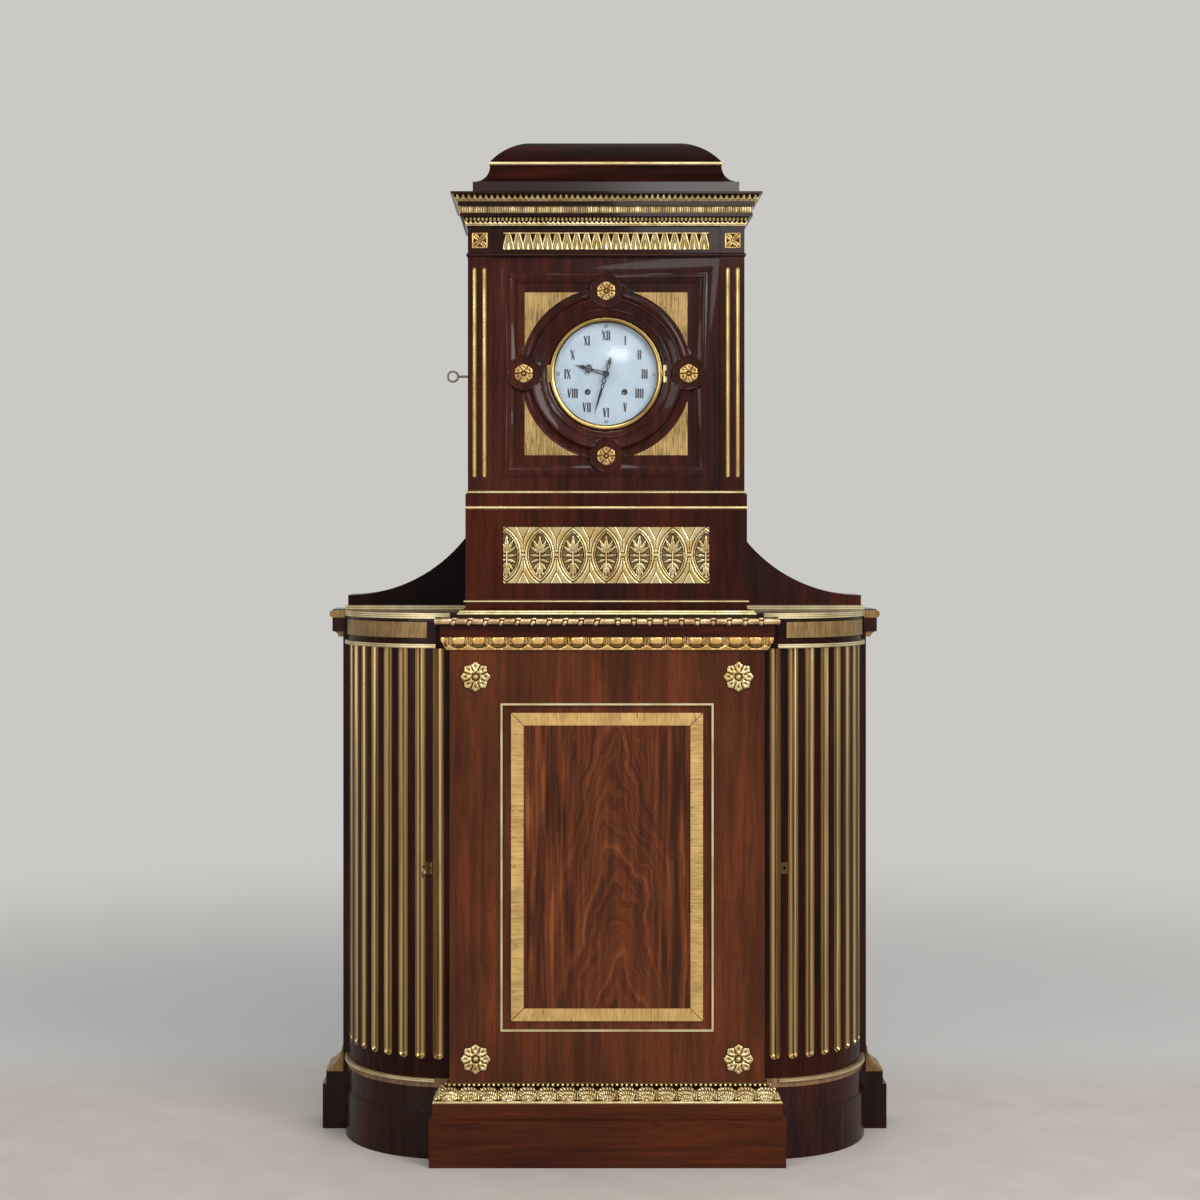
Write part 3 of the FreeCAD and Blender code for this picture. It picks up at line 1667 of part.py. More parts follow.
def seat_board():
    """The board that carries the movement, on two uprights from the tier's top."""
    low = movement_bottom - seat_thickness
    top = slab(seat_half, seat_front, seat_back, low, movement_bottom)
    leg = box(upright_x, upright_x + board, seat_front, seat_back, tier_top, low)
    holes = [
        post(side * (weight_x + way * pulley_line()), weight_y, low - overrun,
             movement_bottom + overrun, cord_hole_radius)
        for side in (-1, 1)
        for way in (-1, 1)
    ]
    return joined(top, *pair(leg)).cut(holes)


def pulley_line():
    return pulley_radius - pulley_groove


def crutch():
    """Pallet arbor with its anchor between the plates and the crutch behind them."""
    arbor = pin(0, front_plate, lug_front + cock_lug, swing_z, crutch_arbor_radius)
    anchor = upright(
        anchor_y, anchor_thickness,
        (-anchor_half, swing_z - anchor_height * 2), (0, swing_z + anchor_height, anchor_out_share),
        (anchor_half, swing_z - anchor_height * 2, anchor_out_share),
        (anchor_half - anchor_height / 2, swing_z - anchor_height * 2),
        (0, swing_z - anchor_height / 2, anchor_in_share),
        (-anchor_half + anchor_height / 2, swing_z - anchor_height * 2, anchor_in_share),
    )
    low = swing_z - crutch_length
    half = crutch_width / 2
    arm = box(-half, half, crutch_front, crutch_front + crutch_thickness, low,
              swing_z + half)
    x0 = rod_radius + fork_gap
    bridge = box(-x0 - fork_pin, x0 + fork_pin, crutch_front, crutch_front + crutch_thickness,
                 low, low + fork_pin * 2)
    prong = box(x0, x0 + fork_pin, crutch_front, pendulum_y + fork_reach, low,
                low + fork_pin * 2)
    return joined(arbor, anchor, arm, bridge, *pair(prong))


def pendulum():
    """Suspension spring, rod, lens-shaped bob and rating nut."""
    half = spring_thickness / 2
    spring = box(-half, half, pendulum_y - spring_width / 2, pendulum_y + spring_width / 2,
                 swing_z - spring_length, swing_z + cock_rise - seat_gap)
    bob_z = swing_z - pendulum_length
    low = bob_z - bob_radius - rod_below_bob
    rod = post(0, pendulum_y, low, swing_z - spring_length, rod_radius)
    half_bob = bob_thickness / 2
    face = Part.Face(outline(
        lambda radius, y: Vector(radius, pendulum_y + y, bob_z),
        (0, -half_bob), (bob_radius, -bob_edge / 2, bob_share), (bob_radius, bob_edge / 2),
        (0, half_bob, bob_share),
    ))
    bob = face.revolve(Vector(0, pendulum_y, bob_z), Vector(0, 1, 0), 360)
    nut_top = bob_z - bob_radius
    nut = post(0, pendulum_y, nut_top - rating_nut_height, nut_top, rating_nut_radius)
    return joined(spring, rod, bob, nut)


def bell():
    """A dished bell on its standard."""
    inner = bell_radius - bell_wall
    crown = bell_z + bell_height
    bore = bell_post_radius + seat_gap
    return upright_turned(
        bell_x, bell_y,
        (bore, crown), (bell_crown_radius, crown), (bell_radius, bell_z, bell_share),
        (inner, bell_z), (bell_crown_radius, crown - bell_wall, -bell_share),
        (bore, crown - bell_wall),
    )


def hammer():
    """The strike hammer, its arm rising beside the movement to the bell's rim."""
    rear = back_plate + plate_thickness
    arbor = pin(hammer_x, front_plate, rear, hammer_z, hammer_arbor_radius)
    half = hammer_arm / 2
    top = bell_z + hammer_head_radius
    arm = box(hammer_x - half, hammer_x + half, bell_y - half, bell_y + half,
              hammer_z, top)
    x0 = bell_x + bell_radius + hammer_gap
    head = Part.makeCylinder(
        hammer_head_radius, hammer_x + half - x0, Vector(x0, bell_y, bell_z + half),
        Vector(1, 0, 0),
    )
    return joined(arbor, arm, head)


def weight():
    """A weight with its stirrup and pulley."""
    x = weight_x
    top = weight_bottom + weight_height
    body = upright_turned(
        x, weight_y,
        (0, weight_bottom), (weight_radius, weight_bottom), (weight_radius, top - weight_dome),
        (0, top, weight_dome_share),
    )
    pulley_z = top + stirrup_height
    outer = stirrup_half + stirrup_width
    cheek = box(
        x - stirrup_width, x + stirrup_width, weight_y + pulley_half + stirrup_gap,
        weight_y + stirrup_half, top - weight_dome, pulley_z + pulley_pin * 2,
    )
    far = cheek.mirror(Vector(0, weight_y, 0), Vector(0, 1, 0))
    axle = pin(x, weight_y - outer, weight_y + outer, pulley_z, pulley_pin)
    neck = pulley_radius - pulley_groove
    wheel = Part.Face(outline(
        lambda radius, y: Vector(x + radius, weight_y + y, pulley_z),
        (0, -pulley_half), (pulley_radius, -pulley_half), (neck - line_radius, 0),
        (pulley_radius, pulley_half), (0, pulley_half),
    )).revolve(Vector(x, weight_y, pulley_z), Vector(0, 1, 0), 360)
    lines = [
        post(x + way * pulley_line(), weight_y, pulley_z, pulley_z + pulley_radius * 2,
             line_radius + seat_gap)
        for way in (-1, 1)
    ]
    return joined(body, cheek, far, axle, wheel).cut(lines)


def weight_line():
    """The two strands over one weight's pulley."""
    pulley_z = weight_bottom + weight_height + stirrup_height
    x = weight_x
    outer = post(x + pulley_line(), weight_y, pulley_z, dial_z - winding_drop, line_radius)
    inner = post(x - pulley_line(), weight_y, pulley_z, movement_bottom, line_radius)
    return [outer, inner]


def write(name, shapes):
    solids = []
    for shape in shapes if isinstance(shapes, list) else [shapes]:
        solids.extend(shape.Solids)
    whole = solids[0] if len(solids) == 1 else Part.makeCompound(solids)
    if not whole.isValid():
        print("invalid solid in", name)
    whole.exportStep("parts/" + name + ".step")


def main():
    os.makedirs("parts", exist_ok=True)
    write("plinth_front", plinth_front())
    write("plinth_walls", plinth_walls())
    write("floor_board", floor_board())
    write("base_moulding", base_moulding())
    write("front_board", front_board())
    write("front_panel", front_panel())
    write("front_panel_band", front_panel_band())
    write("cheeks", cheeks())
    write("pilasters", pilasters())
    write("back_board", back_board())
    write("top_board", top_board())
    write("wing_friezes", wing_friezes())
    write("wing_mounts", wing_mounts())
    write("cornice_front", cornice_front())
    write("cornice_rope_moulding", rope_moulding())
    write("cornice_egg_moulding", egg_moulding())
    write("cabinet_fillets", cabinet_fillets())
    write("rosettes", rosettes())
    write("shoulders", shoulders())
    write("hood_base", hood_base())
    write("hood_mounts", hood_mounts())
    write("hood_front", hood_panel())
    write("hood_spandrels", spandrels())
    write("hood_posts", hood_posts())
    write("hood_flutes", hood_flutes())
    write("hood_case", hood_case())
    write("hood_frieze", hood_frieze())
    write("hood_cornice", hood_cornice())
    write("hood_cornice_mounts", cornice_mounts())
    write("caddy_top", caddy_top())
    write("hood_fillets", hood_fillets())
    for side, place in (("right", lambda shape: shape), ("left", mirrored)):
        write("door_" + side, place(right_door()))
        write("door_" + side + "_brass", [place(shape) for shape in door_brass()])
        write("bolt_" + side, place(door_bolt()))
        write("barrel_" + side, place(barrel()))
        write("weight_" + side, place(weight()))
        write("line_" + side, [place(shape) for shape in weight_line()])
    write("key_left", mirrored(door_key()))
    write("hood_door", hood_door())
    write("hood_lock", hood_lock())
    write("hood_bolt", hood_bolt())
    write("hood_key", hood_key())
    write("dial", dial())
    write("bezel", bezel())
    write("bezel_hinge", bezel_hinge())
    write("bezel_glass", glass())
    write("hour_hand", hour_hand())
    write("minute_hand", minute_hand())
    write("seat_board", seat_board())
    write("movement_frame", movement_frame())
    write("crutch", crutch())
    write("pendulum", pendulum())
    write("bell", bell())
    write("hammer", hammer())


main()
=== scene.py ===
import json
from math import atan2, ceil, cos, exp, hypot, pi, radians, sin, sqrt

import bmesh
import bpy
import numpy as np
from mathutils import Matrix, Vector


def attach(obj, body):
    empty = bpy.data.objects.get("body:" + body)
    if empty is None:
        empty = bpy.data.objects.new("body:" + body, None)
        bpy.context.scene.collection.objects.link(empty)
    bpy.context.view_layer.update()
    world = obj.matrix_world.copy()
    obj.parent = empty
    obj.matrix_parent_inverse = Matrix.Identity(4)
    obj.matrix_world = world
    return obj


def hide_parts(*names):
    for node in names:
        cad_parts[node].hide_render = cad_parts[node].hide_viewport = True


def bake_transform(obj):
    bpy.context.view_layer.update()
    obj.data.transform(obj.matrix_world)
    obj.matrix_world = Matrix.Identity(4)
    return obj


# Longcase clock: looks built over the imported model.
# Sizes below are in millimetres, in the model's frame: +X right, +Z up, the dial faces -Y.

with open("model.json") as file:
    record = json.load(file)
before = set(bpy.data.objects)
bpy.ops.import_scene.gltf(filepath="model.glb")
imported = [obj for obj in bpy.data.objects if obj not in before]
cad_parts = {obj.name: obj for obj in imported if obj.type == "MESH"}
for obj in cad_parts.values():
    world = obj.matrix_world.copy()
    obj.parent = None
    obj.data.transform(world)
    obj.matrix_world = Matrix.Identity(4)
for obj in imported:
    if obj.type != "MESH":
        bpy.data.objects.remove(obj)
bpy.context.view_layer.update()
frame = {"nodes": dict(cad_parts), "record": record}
scene = bpy.context.scene
MM = 0.001
DIAL_Z = 1639
SIDES = ((-1, "left"), (1, "right"))


# Colours, nodes and materials

def tint(code):
    """A written sRGB colour as the linear colour that the shaders take."""
    parts = [int(code[i:i + 2], 16) / 255 for i in (1, 3, 5)]
    return [p / 12.92 if p <= 0.04045 else ((p + 0.055) / 1.055) ** 2.4 for p in parts] + [1.0]


def fill(tree, inputs, values):
    """Gives each input a number, a written colour, a socket or the first output of a node."""
    for key, value in values.items():
        if isinstance(value, bpy.types.Node):
            value = value.outputs[0]
        if isinstance(value, bpy.types.NodeSocket):
            tree.links.new(value, inputs[key])
        else:
            inputs[key].default_value = tint(value) if isinstance(value, str) else value


def add(tree, kind, inputs=None, stops=(), **settings):
    """Adds one node, sets it and fills its inputs; stops go into a colour ramp.

    A noise reads the object's own coordinates where it isn't given others.
    """
    made = tree.nodes.new("ShaderNode" + kind)
    for name, value in settings.items():
        setattr(made, name, value)
    for place, (position, code) in enumerate(stops):
        ramp = made.color_ramp.elements
        stop = ramp[place] if place < 2 else ramp.new(position)
        stop.position = position
        stop.color = tint(code) if isinstance(code, str) else (code, code, code, 1.0)
    plain = {"Vector": object_point(tree)} if kind == "TexNoise" and "Vector" not in inputs else {}
    fill(tree, made.inputs, {**plain, **(inputs or {})})
    return made


def material(name, build, **fixed):
    """A named finish: fixed values on the shader's own sockets, patterns from build(tree)."""
    made = bpy.data.materials.new(name)
    made.use_nodes = True
    tree = made.node_tree
    values = {key.replace("_", " "): value for key, value in fixed.items()}
    fill(tree, tree.nodes["Principled BSDF"].inputs, {**values, **build(tree)})
    return made


def recipe(pattern):
    """Lets a pattern be told its colours and sizes first, and its tree later."""
    return lambda *told, **more: lambda tree: pattern(tree, *told, **more)


def object_point(tree, scale=(1, 1, 1), turn=(0, 0, 0), place=(0, 0, 0)):
    """The place of each point on its object, in metres: a noise of 1000 / 5 has 5 mm features."""
    coords = add(tree, "TexCoord").outputs["Object"]
    return add(tree, "Mapping", {"Vector": coords, "Scale": scale, "Rotation": turn, "Location": place})


# The span that a noise keeps within, nearly everywhere
NOISE_SPAN = {"From Min": 0.3, "From Max": 0.7}


@recipe
def wood(tree, along, tones, pore=2.2, rough=(0.22, 0.32)):
    """Straight-grained timber: soft streaks and fine pores drawn out along one axis."""
    stretch = [1.0, 1.0, 1.0]
    stretch["XYZ".index(along)] = 0.06
    drawn = object_point(tree, stretch)
    plain = object_point(tree, [1 if s == 1 else 0.35 for s in stretch])
    streaks = add(tree, "TexNoise", {"Vector": drawn, "Scale": 1000 / 16, "Detail": 4.0,
                                     "Distortion": 0.7})
    patches = add(tree, "TexNoise", {"Vector": plain, "Scale": 1000 / 150, "Detail": 3.0})
    pores = add(tree, "TexNoise", {"Vector": drawn, "Scale": 1000 / pore, "Detail": 1.0})
    both = add(tree, "Mix", {"Factor": 0.5, "A": streaks, "B": patches})
    tone = add(tree, "ValToRGB", {"Fac": both},
               stops=[(0.37, tones[0]), (0.63, tones[2]), (0.5, tones[1])])
    open_pore = add(tree, "ValToRGB", {"Fac": pores}, stops=[(0.3, 0.35), (0.46, 1.0)])
    colour = add(tree, "Mix", {0: open_pore, 6: tones[0], 7: tone}, data_type="RGBA")
    gloss = add(tree, "MapRange", {"Value": patches, **NOISE_SPAN,
                                   "To Min": rough[0], "To Max": rough[1]})
    bump = add(tree, "Bump", {"Height": both, "Strength": 0.03, "Distance": 0.5 * MM})
    return {"Base Color": colour.outputs[2], "Roughness": gloss, "Normal": bump}


@recipe
def flame(tree, tones):
    """Crotch figure: nested arches climbing the middle, steep dark streaks at the sides."""
    warp = add(tree, "TexNoise", {"Vector": object_point(tree, (1, 1, 0.6)), "Scale": 1000 / 95,
                                  "Detail": 3.0})
    shift = add(tree, "MapRange", {"Value": warp, "To Min": -0.075, "To Max": 0.075})
    apart = add(tree, "SeparateXYZ", {"Vector": object_point(tree, place=(-0.012, 0, -0.3))}).outputs
    bend = add(tree, "Math", {0: apart["X"], 1: shift}, operation="ADD")
    square = add(tree, "Math", {0: bend, 1: bend, 2: 0.0002}, operation="MULTIPLY_ADD")
    slope = add(tree, "Math", {0: square}, operation="SQRT")
    rise = add(tree, "Math", {0: slope, 1: 3.6, 2: apart["Z"]}, operation="MULTIPLY_ADD")
    wander = add(tree, "Math", {0: shift, 1: 0.8, 2: rise}, operation="MULTIPLY_ADD")
    line = add(tree, "CombineXYZ", {"Z": wander})
    arches = add(tree, "TexNoise", {"Vector": line, "Scale": 1000 / 50, "Detail": 4.0,
                                    "Roughness": 0.6})
    streaks = add(tree, "TexNoise", {"Vector": object_point(tree, (1, 1, 0.05)), "Scale": 1000 / 15,
                                     "Detail": 4.0, "Roughness": 0.6, "Distortion": 0.3})
    side = add(tree, "MapRange", {"Value": slope, "From Min": 0.05, "From Max": 0.13, "To Min": 0.3,
                                  "To Max": 0.92}, interpolation_type="SMOOTHSTEP")
    both = add(tree, "Mix", {"Factor": side, "A": arches, "B": streaks})
    aged = add(tree, "Math", {0: side, 1: -0.04, 2: both}, operation="MULTIPLY_ADD")
    tone = add(tree, "ValToRGB", {"Fac": aged},
               stops=[(0.38, tones[0]), (0.64, tones[3]), (0.46, tones[1]), (0.54, tones[2])])
    bump = add(tree, "Bump", {"Height": both, "Strength": 0.03, "Distance": 0.5 * MM})
    return {"Base Color": tone, "Normal": bump}


@recipe
def gilding(tree, bright, varied_tone, deep):
    """Cast and chased metal: burnished on the high places, matt and dark in the hollows, partly patina
    and partly painted shade.
    """
    hollow = add(tree, "Attribute", attribute_name="hollow").outputs["Fac"]
    cloud = add(tree, "TexNoise", {"Scale": 1000 / 24, "Detail": 4.0})
    matting = add(tree, "TexNoise", {"Scale": 1000 / 2.2, "Detail": 2.0})
    tone = add(tree, "ValToRGB", {"Fac": cloud}, stops=[(0.38, varied_tone), (0.6, bright)])
    # Painted shade with patina: the hollows take the deep colour
    colour = add(tree, "Mix", {0: hollow, 6: tone, 7: deep}, data_type="RGBA")
    fine = add(tree, "MapRange", {"Value": cloud, **NOISE_SPAN, "To Min": 0.42, "To Max": 0.24})
    gloss = add(tree, "Math", {0: hollow, 1: 0.3, 2: fine}, operation="MULTIPLY_ADD")
    bump = add(tree, "Bump", {"Height": matting, "Strength": 0.06, "Distance": 0.5 * MM})
    return {"Base Color": colour.outputs[2], "Roughness": gloss, "Normal": bump}


# The middle of the front panel's band, and its half width less its half height, in metres
BAND_MIDDLE = 0.611
BAND_MITRE = -0.1203


@recipe
def combed(tree, along, bright, mid, dark, width=2.6, mark=(0.25, 0.36)):
    """Gilt sheet combed upright, or across each member of the panel's mitred band."""
    ways = {"Z": [(1, 1, 0.05)], "band": [(1, 1, 0.06), (0.06, 1, 1)]}[along]
    combing = [add(tree, "TexNoise", {"Vector": object_point(tree, way), "Scale": 1000 / width,
                                      "Detail": 3.0, "Roughness": 0.65}) for way in ways]
    fleck = [add(tree, "TexNoise", {"Vector": object_point(tree, [0.3 if s < 1 else 1 for s in way]),
                                    "Scale": 1000 / 5, "Detail": 2.0}) for way in ways]
    streak, marks, mitre = combing[0], fleck[0], 0.0
    if along == "band":
        apart = add(tree, "SeparateXYZ", {"Vector": object_point(tree, place=(0, 0, -BAND_MIDDLE))})
        across, up = [add(tree, "Math", {0: apart.outputs[way]}, operation="ABSOLUTE") for way in "XZ"]
        past = add(tree, "Math", {0: across, 1: up}, operation="SUBTRACT")
        stile = add(tree, "Math", {0: past, 1: BAND_MITRE}, operation="GREATER_THAN")
        mitre = add(tree, "Math", {0: past, 1: BAND_MITRE, 2: 0.0011}, operation="COMPARE")
        streak, marks = [add(tree, "Mix", {"Factor": stile, "A": pair[0], "B": pair[1]})
                         for pair in (combing, fleck)]
    cloud = add(tree, "TexNoise", {"Scale": 1000 / 45, "Detail": 3.0})
    both = add(tree, "Mix", {"Factor": 0.3, "A": streak, "B": cloud})
    tone = add(tree, "ValToRGB", {"Fac": both}, stops=[(0.4, mid), (0.58, bright)])
    rubbed = add(tree, "ValToRGB", {"Fac": marks}, stops=[(mark[0], 0.25), (mark[1], 1.0)])
    colour = add(tree, "Mix", {0: rubbed, 6: dark, 7: tone}, data_type="RGBA").outputs[2]
    lined = add(tree, "Mix", {0: mitre, 6: colour, 7: dark}, data_type="RGBA")
    gloss = add(tree, "MapRange", {"Value": cloud, **NOISE_SPAN, "To Min": 0.4, "To Max": 0.52})
    bump = add(tree, "Bump", {"Height": streak, "Strength": 0.2, "Distance": 0.4 * MM})
    return {"Base Color": lined.outputs[2], "Roughness": gloss, "Normal": bump}


# The wings: their axis, and the angles of the first flute's middle, of the pitch and of half a flute
WING_X, WING_Y = 0.326, 0.094
FLUTE_START, FLUTE_PITCH, FLUTE_HALF = 6.2, 9.7, 2.8


@recipe
def trough_lining(tree, bright, mid, dark):
    """Brass rolled into the doors' flutes: bands of painted highlight and painted shade run across each
    flute.
    """
    apart = add(tree, "SeparateXYZ", {"Vector": object_point(tree)}).outputs
    side = add(tree, "Math", {0: apart["X"]}, operation="ABSOLUTE")
    out = add(tree, "Math", {0: side, 1: WING_X}, operation="SUBTRACT")
    forward = add(tree, "Math", {0: WING_Y, 1: apart["Y"]}, operation="SUBTRACT")
    turn = add(tree, "Math", {0: out, 1: forward}, operation="ARCTAN2")
    past = add(tree, "Math", {0: turn, 1: radians(FLUTE_START - FLUTE_PITCH / 2)}, operation="SUBTRACT")
    tile = add(tree, "Math", {0: past, 1: radians(FLUTE_PITCH)}, operation="FLOORED_MODULO")
    across = add(tree, "MapRange", {"Value": tile, "From Min": radians(FLUTE_PITCH / 2 - FLUTE_HALF),
                                    "From Max": radians(FLUTE_PITCH / 2 + FLUTE_HALF)})
    lines = add(tree, "TexNoise", {"Vector": object_point(tree, (1, 1, 0.012)), "Scale": 1000 / 3.4,
                                   "Detail": 3.0, "Roughness": 0.6})
    # Painted light: bright and dark bands across each flute stand in for the highlights and shade in the
    # hollow
    varied_tone = add(tree, "ValToRGB", {"Fac": across},
               stops=[(0.0, 0.15), (1.0, 0.2), (0.2, 0.9), (0.42, 0.62), (0.62, 0.1), (0.8, 0.72)])
    both = add(tree, "Mix", {"Factor": 0.42, "A": varied_tone, "B": lines})
    tone = add(tree, "ValToRGB", {"Fac": both}, stops=[(0.24, dark), (0.68, bright), (0.45, mid)])
    gloss = add(tree, "MapRange", {"Value": both, "From Min": 0.2, "From Max": 0.7,
                                   "To Min": 0.42, "To Max": 0.24})
    bump = add(tree, "Bump", {"Height": lines, "Strength": 0.05, "Distance": 0.4 * MM})
    return {"Base Color": tone, "Roughness": gloss, "Normal": bump}


@recipe
def worked_metal(tree, bright, dull, along=None, rough=(0.16, 0.3), reed=0.0, seat=0.0):
    """Turned, drawn or rolled metal: faint drawn lines and handling haze.

    Reed is the pitch of the reeds on the wings, whose grooves are darkened as painted shade; inside
    the radius seat, round the dial's middle, a ring of painted shadow darkens the bezel's inner edge.
    """
    # The dark colour of the painted shade in the reeds' grooves and at the bezel's inner edge
    stretch, soil_and_shade = [1.0, 1.0, 1.0], "#3A2B14"
    if along:
        stretch["XYZ".index(along)] = 0.03
    height = add(tree, "TexNoise", {"Vector": object_point(tree, stretch), "Scale": 1000 / 1.6,
                                    "Detail": 2.0})
    haze = add(tree, "TexNoise", {"Scale": 1000 / 60, "Detail": 4.0})
    colour = add(tree, "ValToRGB", {"Fac": haze}, stops=[(0.35, dull), (0.62, bright)])
    # Painted shade: the reeds are only bumped, and their grooves are darkened in the colour
    if reed:
        apart = add(tree, "SeparateXYZ", {"Vector": object_point(tree)}).outputs
        side = add(tree, "Math", {0: apart["X"]}, operation="ABSOLUTE")
        wing = add(tree, "Math", {0: side, 1: 0.25}, operation="GREATER_THAN")
        turns = add(tree, "Math", {0: apart["Z"], 1: pi * 1000 / reed}, operation="MULTIPLY")
        wave = add(tree, "Math", {0: turns}, operation="SINE")
        hump = add(tree, "Math", {0: wave}, operation="ABSOLUTE")
        low = add(tree, "MapRange", {"Value": hump, "From Min": 0.75, "From Max": 0.1, "To Max": 0.85})
        cut = add(tree, "Math", {0: low, 1: wing}, operation="MULTIPLY")
        colour = add(tree, "Mix", {0: cut, 6: colour, 7: soil_and_shade}, data_type="RGBA").outputs[2]
        height = add(tree, "Math", {0: cut, 1: -4.0, 2: height}, operation="MULTIPLY_ADD")
    # Painted shadow: a dark ring at the bezel's inner edge, by the glass and dial
    if seat:
        flat = object_point(tree, (1, 0, 1), place=(0, 0, -DIAL_Z * MM))
        off = add(tree, "VectorMath", {0: flat}, operation="LENGTH").outputs["Value"]
        inside = add(tree, "MapRange", {"Value": off, "From Min": (seat + 0.7) * MM,
                                        "From Max": (seat - 0.7) * MM})
        colour = add(tree, "Mix", {0: inside, 6: colour, 7: soil_and_shade}, data_type="RGBA").outputs[2]
    gloss = add(tree, "MapRange", {"Value": haze, **NOISE_SPAN, "To Min": rough[1], "To Max": rough[0]})
    bump = add(tree, "Bump", {"Height": height, "Strength": 0.02, "Distance": 0.4 * MM})
    return {"Base Color": colour, "Roughness": gloss, "Normal": bump}


@recipe
def fired_enamel(tree, light, shade):
    """Glazed white enamel on copper: an even pale glaze with pinholes and slight clouding."""
    cloud = add(tree, "TexNoise", {"Scale": 1000 / 45, "Detail": 3.0})
    speck = add(tree, "TexNoise", {"Scale": 1000 / 2.5, "Detail": 2.0})
    tone = add(tree, "ValToRGB", {"Fac": cloud}, stops=[(0.3, shade), (0.65, light)])
    pin = add(tree, "ValToRGB", {"Fac": speck}, stops=[(0.24, 0.0), (0.34, 1.0)])
    colour = add(tree, "Mix", {0: pin, 6: shade, 7: tone}, data_type="RGBA")
    bump = add(tree, "Bump", {"Height": cloud, "Strength": 0.1, "Distance": 0.8 * MM})
    return {"Base Color": colour.outputs[2], "Normal": bump}


@recipe
def painted(tree, tone, shade):
    """Black vitreous paint or blued steel: a dark even coat with faint clouding."""
    cloud = add(tree, "TexNoise", {"Scale": 1000 / 12, "Detail": 3.0})
    return {"Base Color": add(tree, "ValToRGB", {"Fac": cloud}, stops=[(0.35, shade), (0.62, tone)])}


def blown_glass(tree):
    """Crown glass: clear, with the slow ripple of a blown sheet."""
    ripple = add(tree, "TexNoise", {"Scale": 1000 / 70, "Detail": 1.0})
    return {"Normal": add(tree, "Bump", {"Height": ripple, "Strength": 0.05, "Distance": 0.5 * MM})}


def twisted_gut(tree):
    """Gut line: amber strands laid in a fine twist."""
    lay = add(tree, "TexWave", {"Vector": object_point(tree, turn=(0, 0.6, 0)), "Scale": 1000 / 6,
                                "Distortion": 0.5}).outputs["Fac"]
    tone = add(tree, "ValToRGB", {"Fac": lay}, stops=[(0.2, "#8A6A3C"), (0.8, "#C8A868")])
    bump = add(tree, "Bump", {"Height": lay, "Strength": 0.3, "Distance": 0.2 * MM})
    return {"Base Color": tone, "Normal": bump}


# French-polished mahogany: red-brown streaks under a thin glossy shellac coat
RED = ("#3A190A", "#4D2511", "#642F16")
TIER = ("#1D0700", "#300C01", "#461603")
PLINTH = ("#321307", "#431B08", "#56240B")
HOOD = ("#1B0904", "#2E0F06", "#43190B")
MATURE = ("#150603", "#240D06", "#36150A")
# Nearly black, for the painted shade on the left shoulder
SHADE_BLACK = ("#0B0403", "#120604", "#1C0A06")
POLISH = {"IOR": 1.5, "Specular_IOR_Level": 0.07, "Coat_Weight": 0.22, "Coat_Roughness": 0.05,
          "Coat_IOR": 1.5}
mahogany_upright = material("french_polished_mahogany_upright", wood("Z", RED), **POLISH)
mahogany_across = material("french_polished_mahogany_across", wood("X", PLINTH), **POLISH)
hood_upright = material("red_polished_mahogany_upright", wood("Z", HOOD), **POLISH)
dark_upright = material("dark_polished_mahogany_upright", wood("Z", MATURE), **POLISH)
dark_across = material("dark_polished_mahogany_across", wood("X", MATURE), **POLISH)
tier_upright = material("mid_polished_mahogany_upright", wood("Z", TIER), **POLISH)
tier_across = material("mid_polished_mahogany_across", wood("X", TIER), **POLISH)

# The same timber dulled by wax, with hardly any glare; nearly black on the left shoulder, as painted
# shade
WAXED = {"IOR": 1.45, "Specular_IOR_Level": 0.06, "Coat_Weight": 0.06, "Coat_Roughness": 0.12}
shade_black_mahogany = material("painted_shade_black_mahogany", wood("Z", SHADE_BLACK), **WAXED)
waxed_upright = material("waxed_mahogany_upright", wood("Z", MATURE, rough=(0.3, 0.42)), **WAXED)
waxed_across = material("waxed_mahogany_across", wood("X", MATURE, rough=(0.3, 0.42)), **WAXED)

# The caddy's top, out of reach of the polisher: matt and brown
dull_across = material("dull_mahogany_across", wood("X", MATURE, rough=(0.42, 0.55)), IOR=1.45,
                       Specular_IOR_Level=0.03)

bright_across = material("bright_polished_mahogany_across", wood("X", MATURE), IOR=1.5,
                         Specular_IOR_Level=0.07, Coat_Weight=0.8, Coat_Roughness=0.16, Coat_IOR=1.5)

# Flame mahogany veneer: the same polish over a crotch figure
flame_mahogany = material("flame_mahogany_veneer", flame(("#35170A", "#4B2311", "#613117", "#82492A")),
                          Roughness=0.24, **POLISH)

# Waxed oak inside and at the back: dry, pale, coarse pored
oak = material("waxed_oak", wood("Z", ("#4A3320", "#6F4F31", "#8C6A45"), 2.4, (0.5, 0.66)), IOR=1.5)

# Ormolu, mercury-gilt cast bronze: warm burnish on the chasing, brown in the hollows, partly patina and
# partly painted shade
ormolu = material("mercury_gilt_bronze", gilding("#E4D29F", "#C2A870", "#2A1B0A"), Metallic=1.0)
pale_ormolu = material("pale_gilt_bronze", gilding("#C3AC7E", "#957F58", "#2E2110"), Metallic=1.0)
rubbed_ormolu = material("rubbed_gilt_bronze", gilding("#C6A76C", "#99794A", "#241608"), Metallic=1.0)
rose_ormolu = material("rubbed_pale_gilt_bronze", gilding("#E2C79C", "#B0906A", "#20140C"), Metallic=1.0)
cream_ormolu = material("cream_gilt_bronze", gilding("#FBEBB8", "#DEC88C", "#2A1C0A"), Metallic=0.75)
warm_ormolu = material("warm_gilt_bronze", gilding("#FFD890", "#E2B266", "#3A2408"), Metallic=0.9)

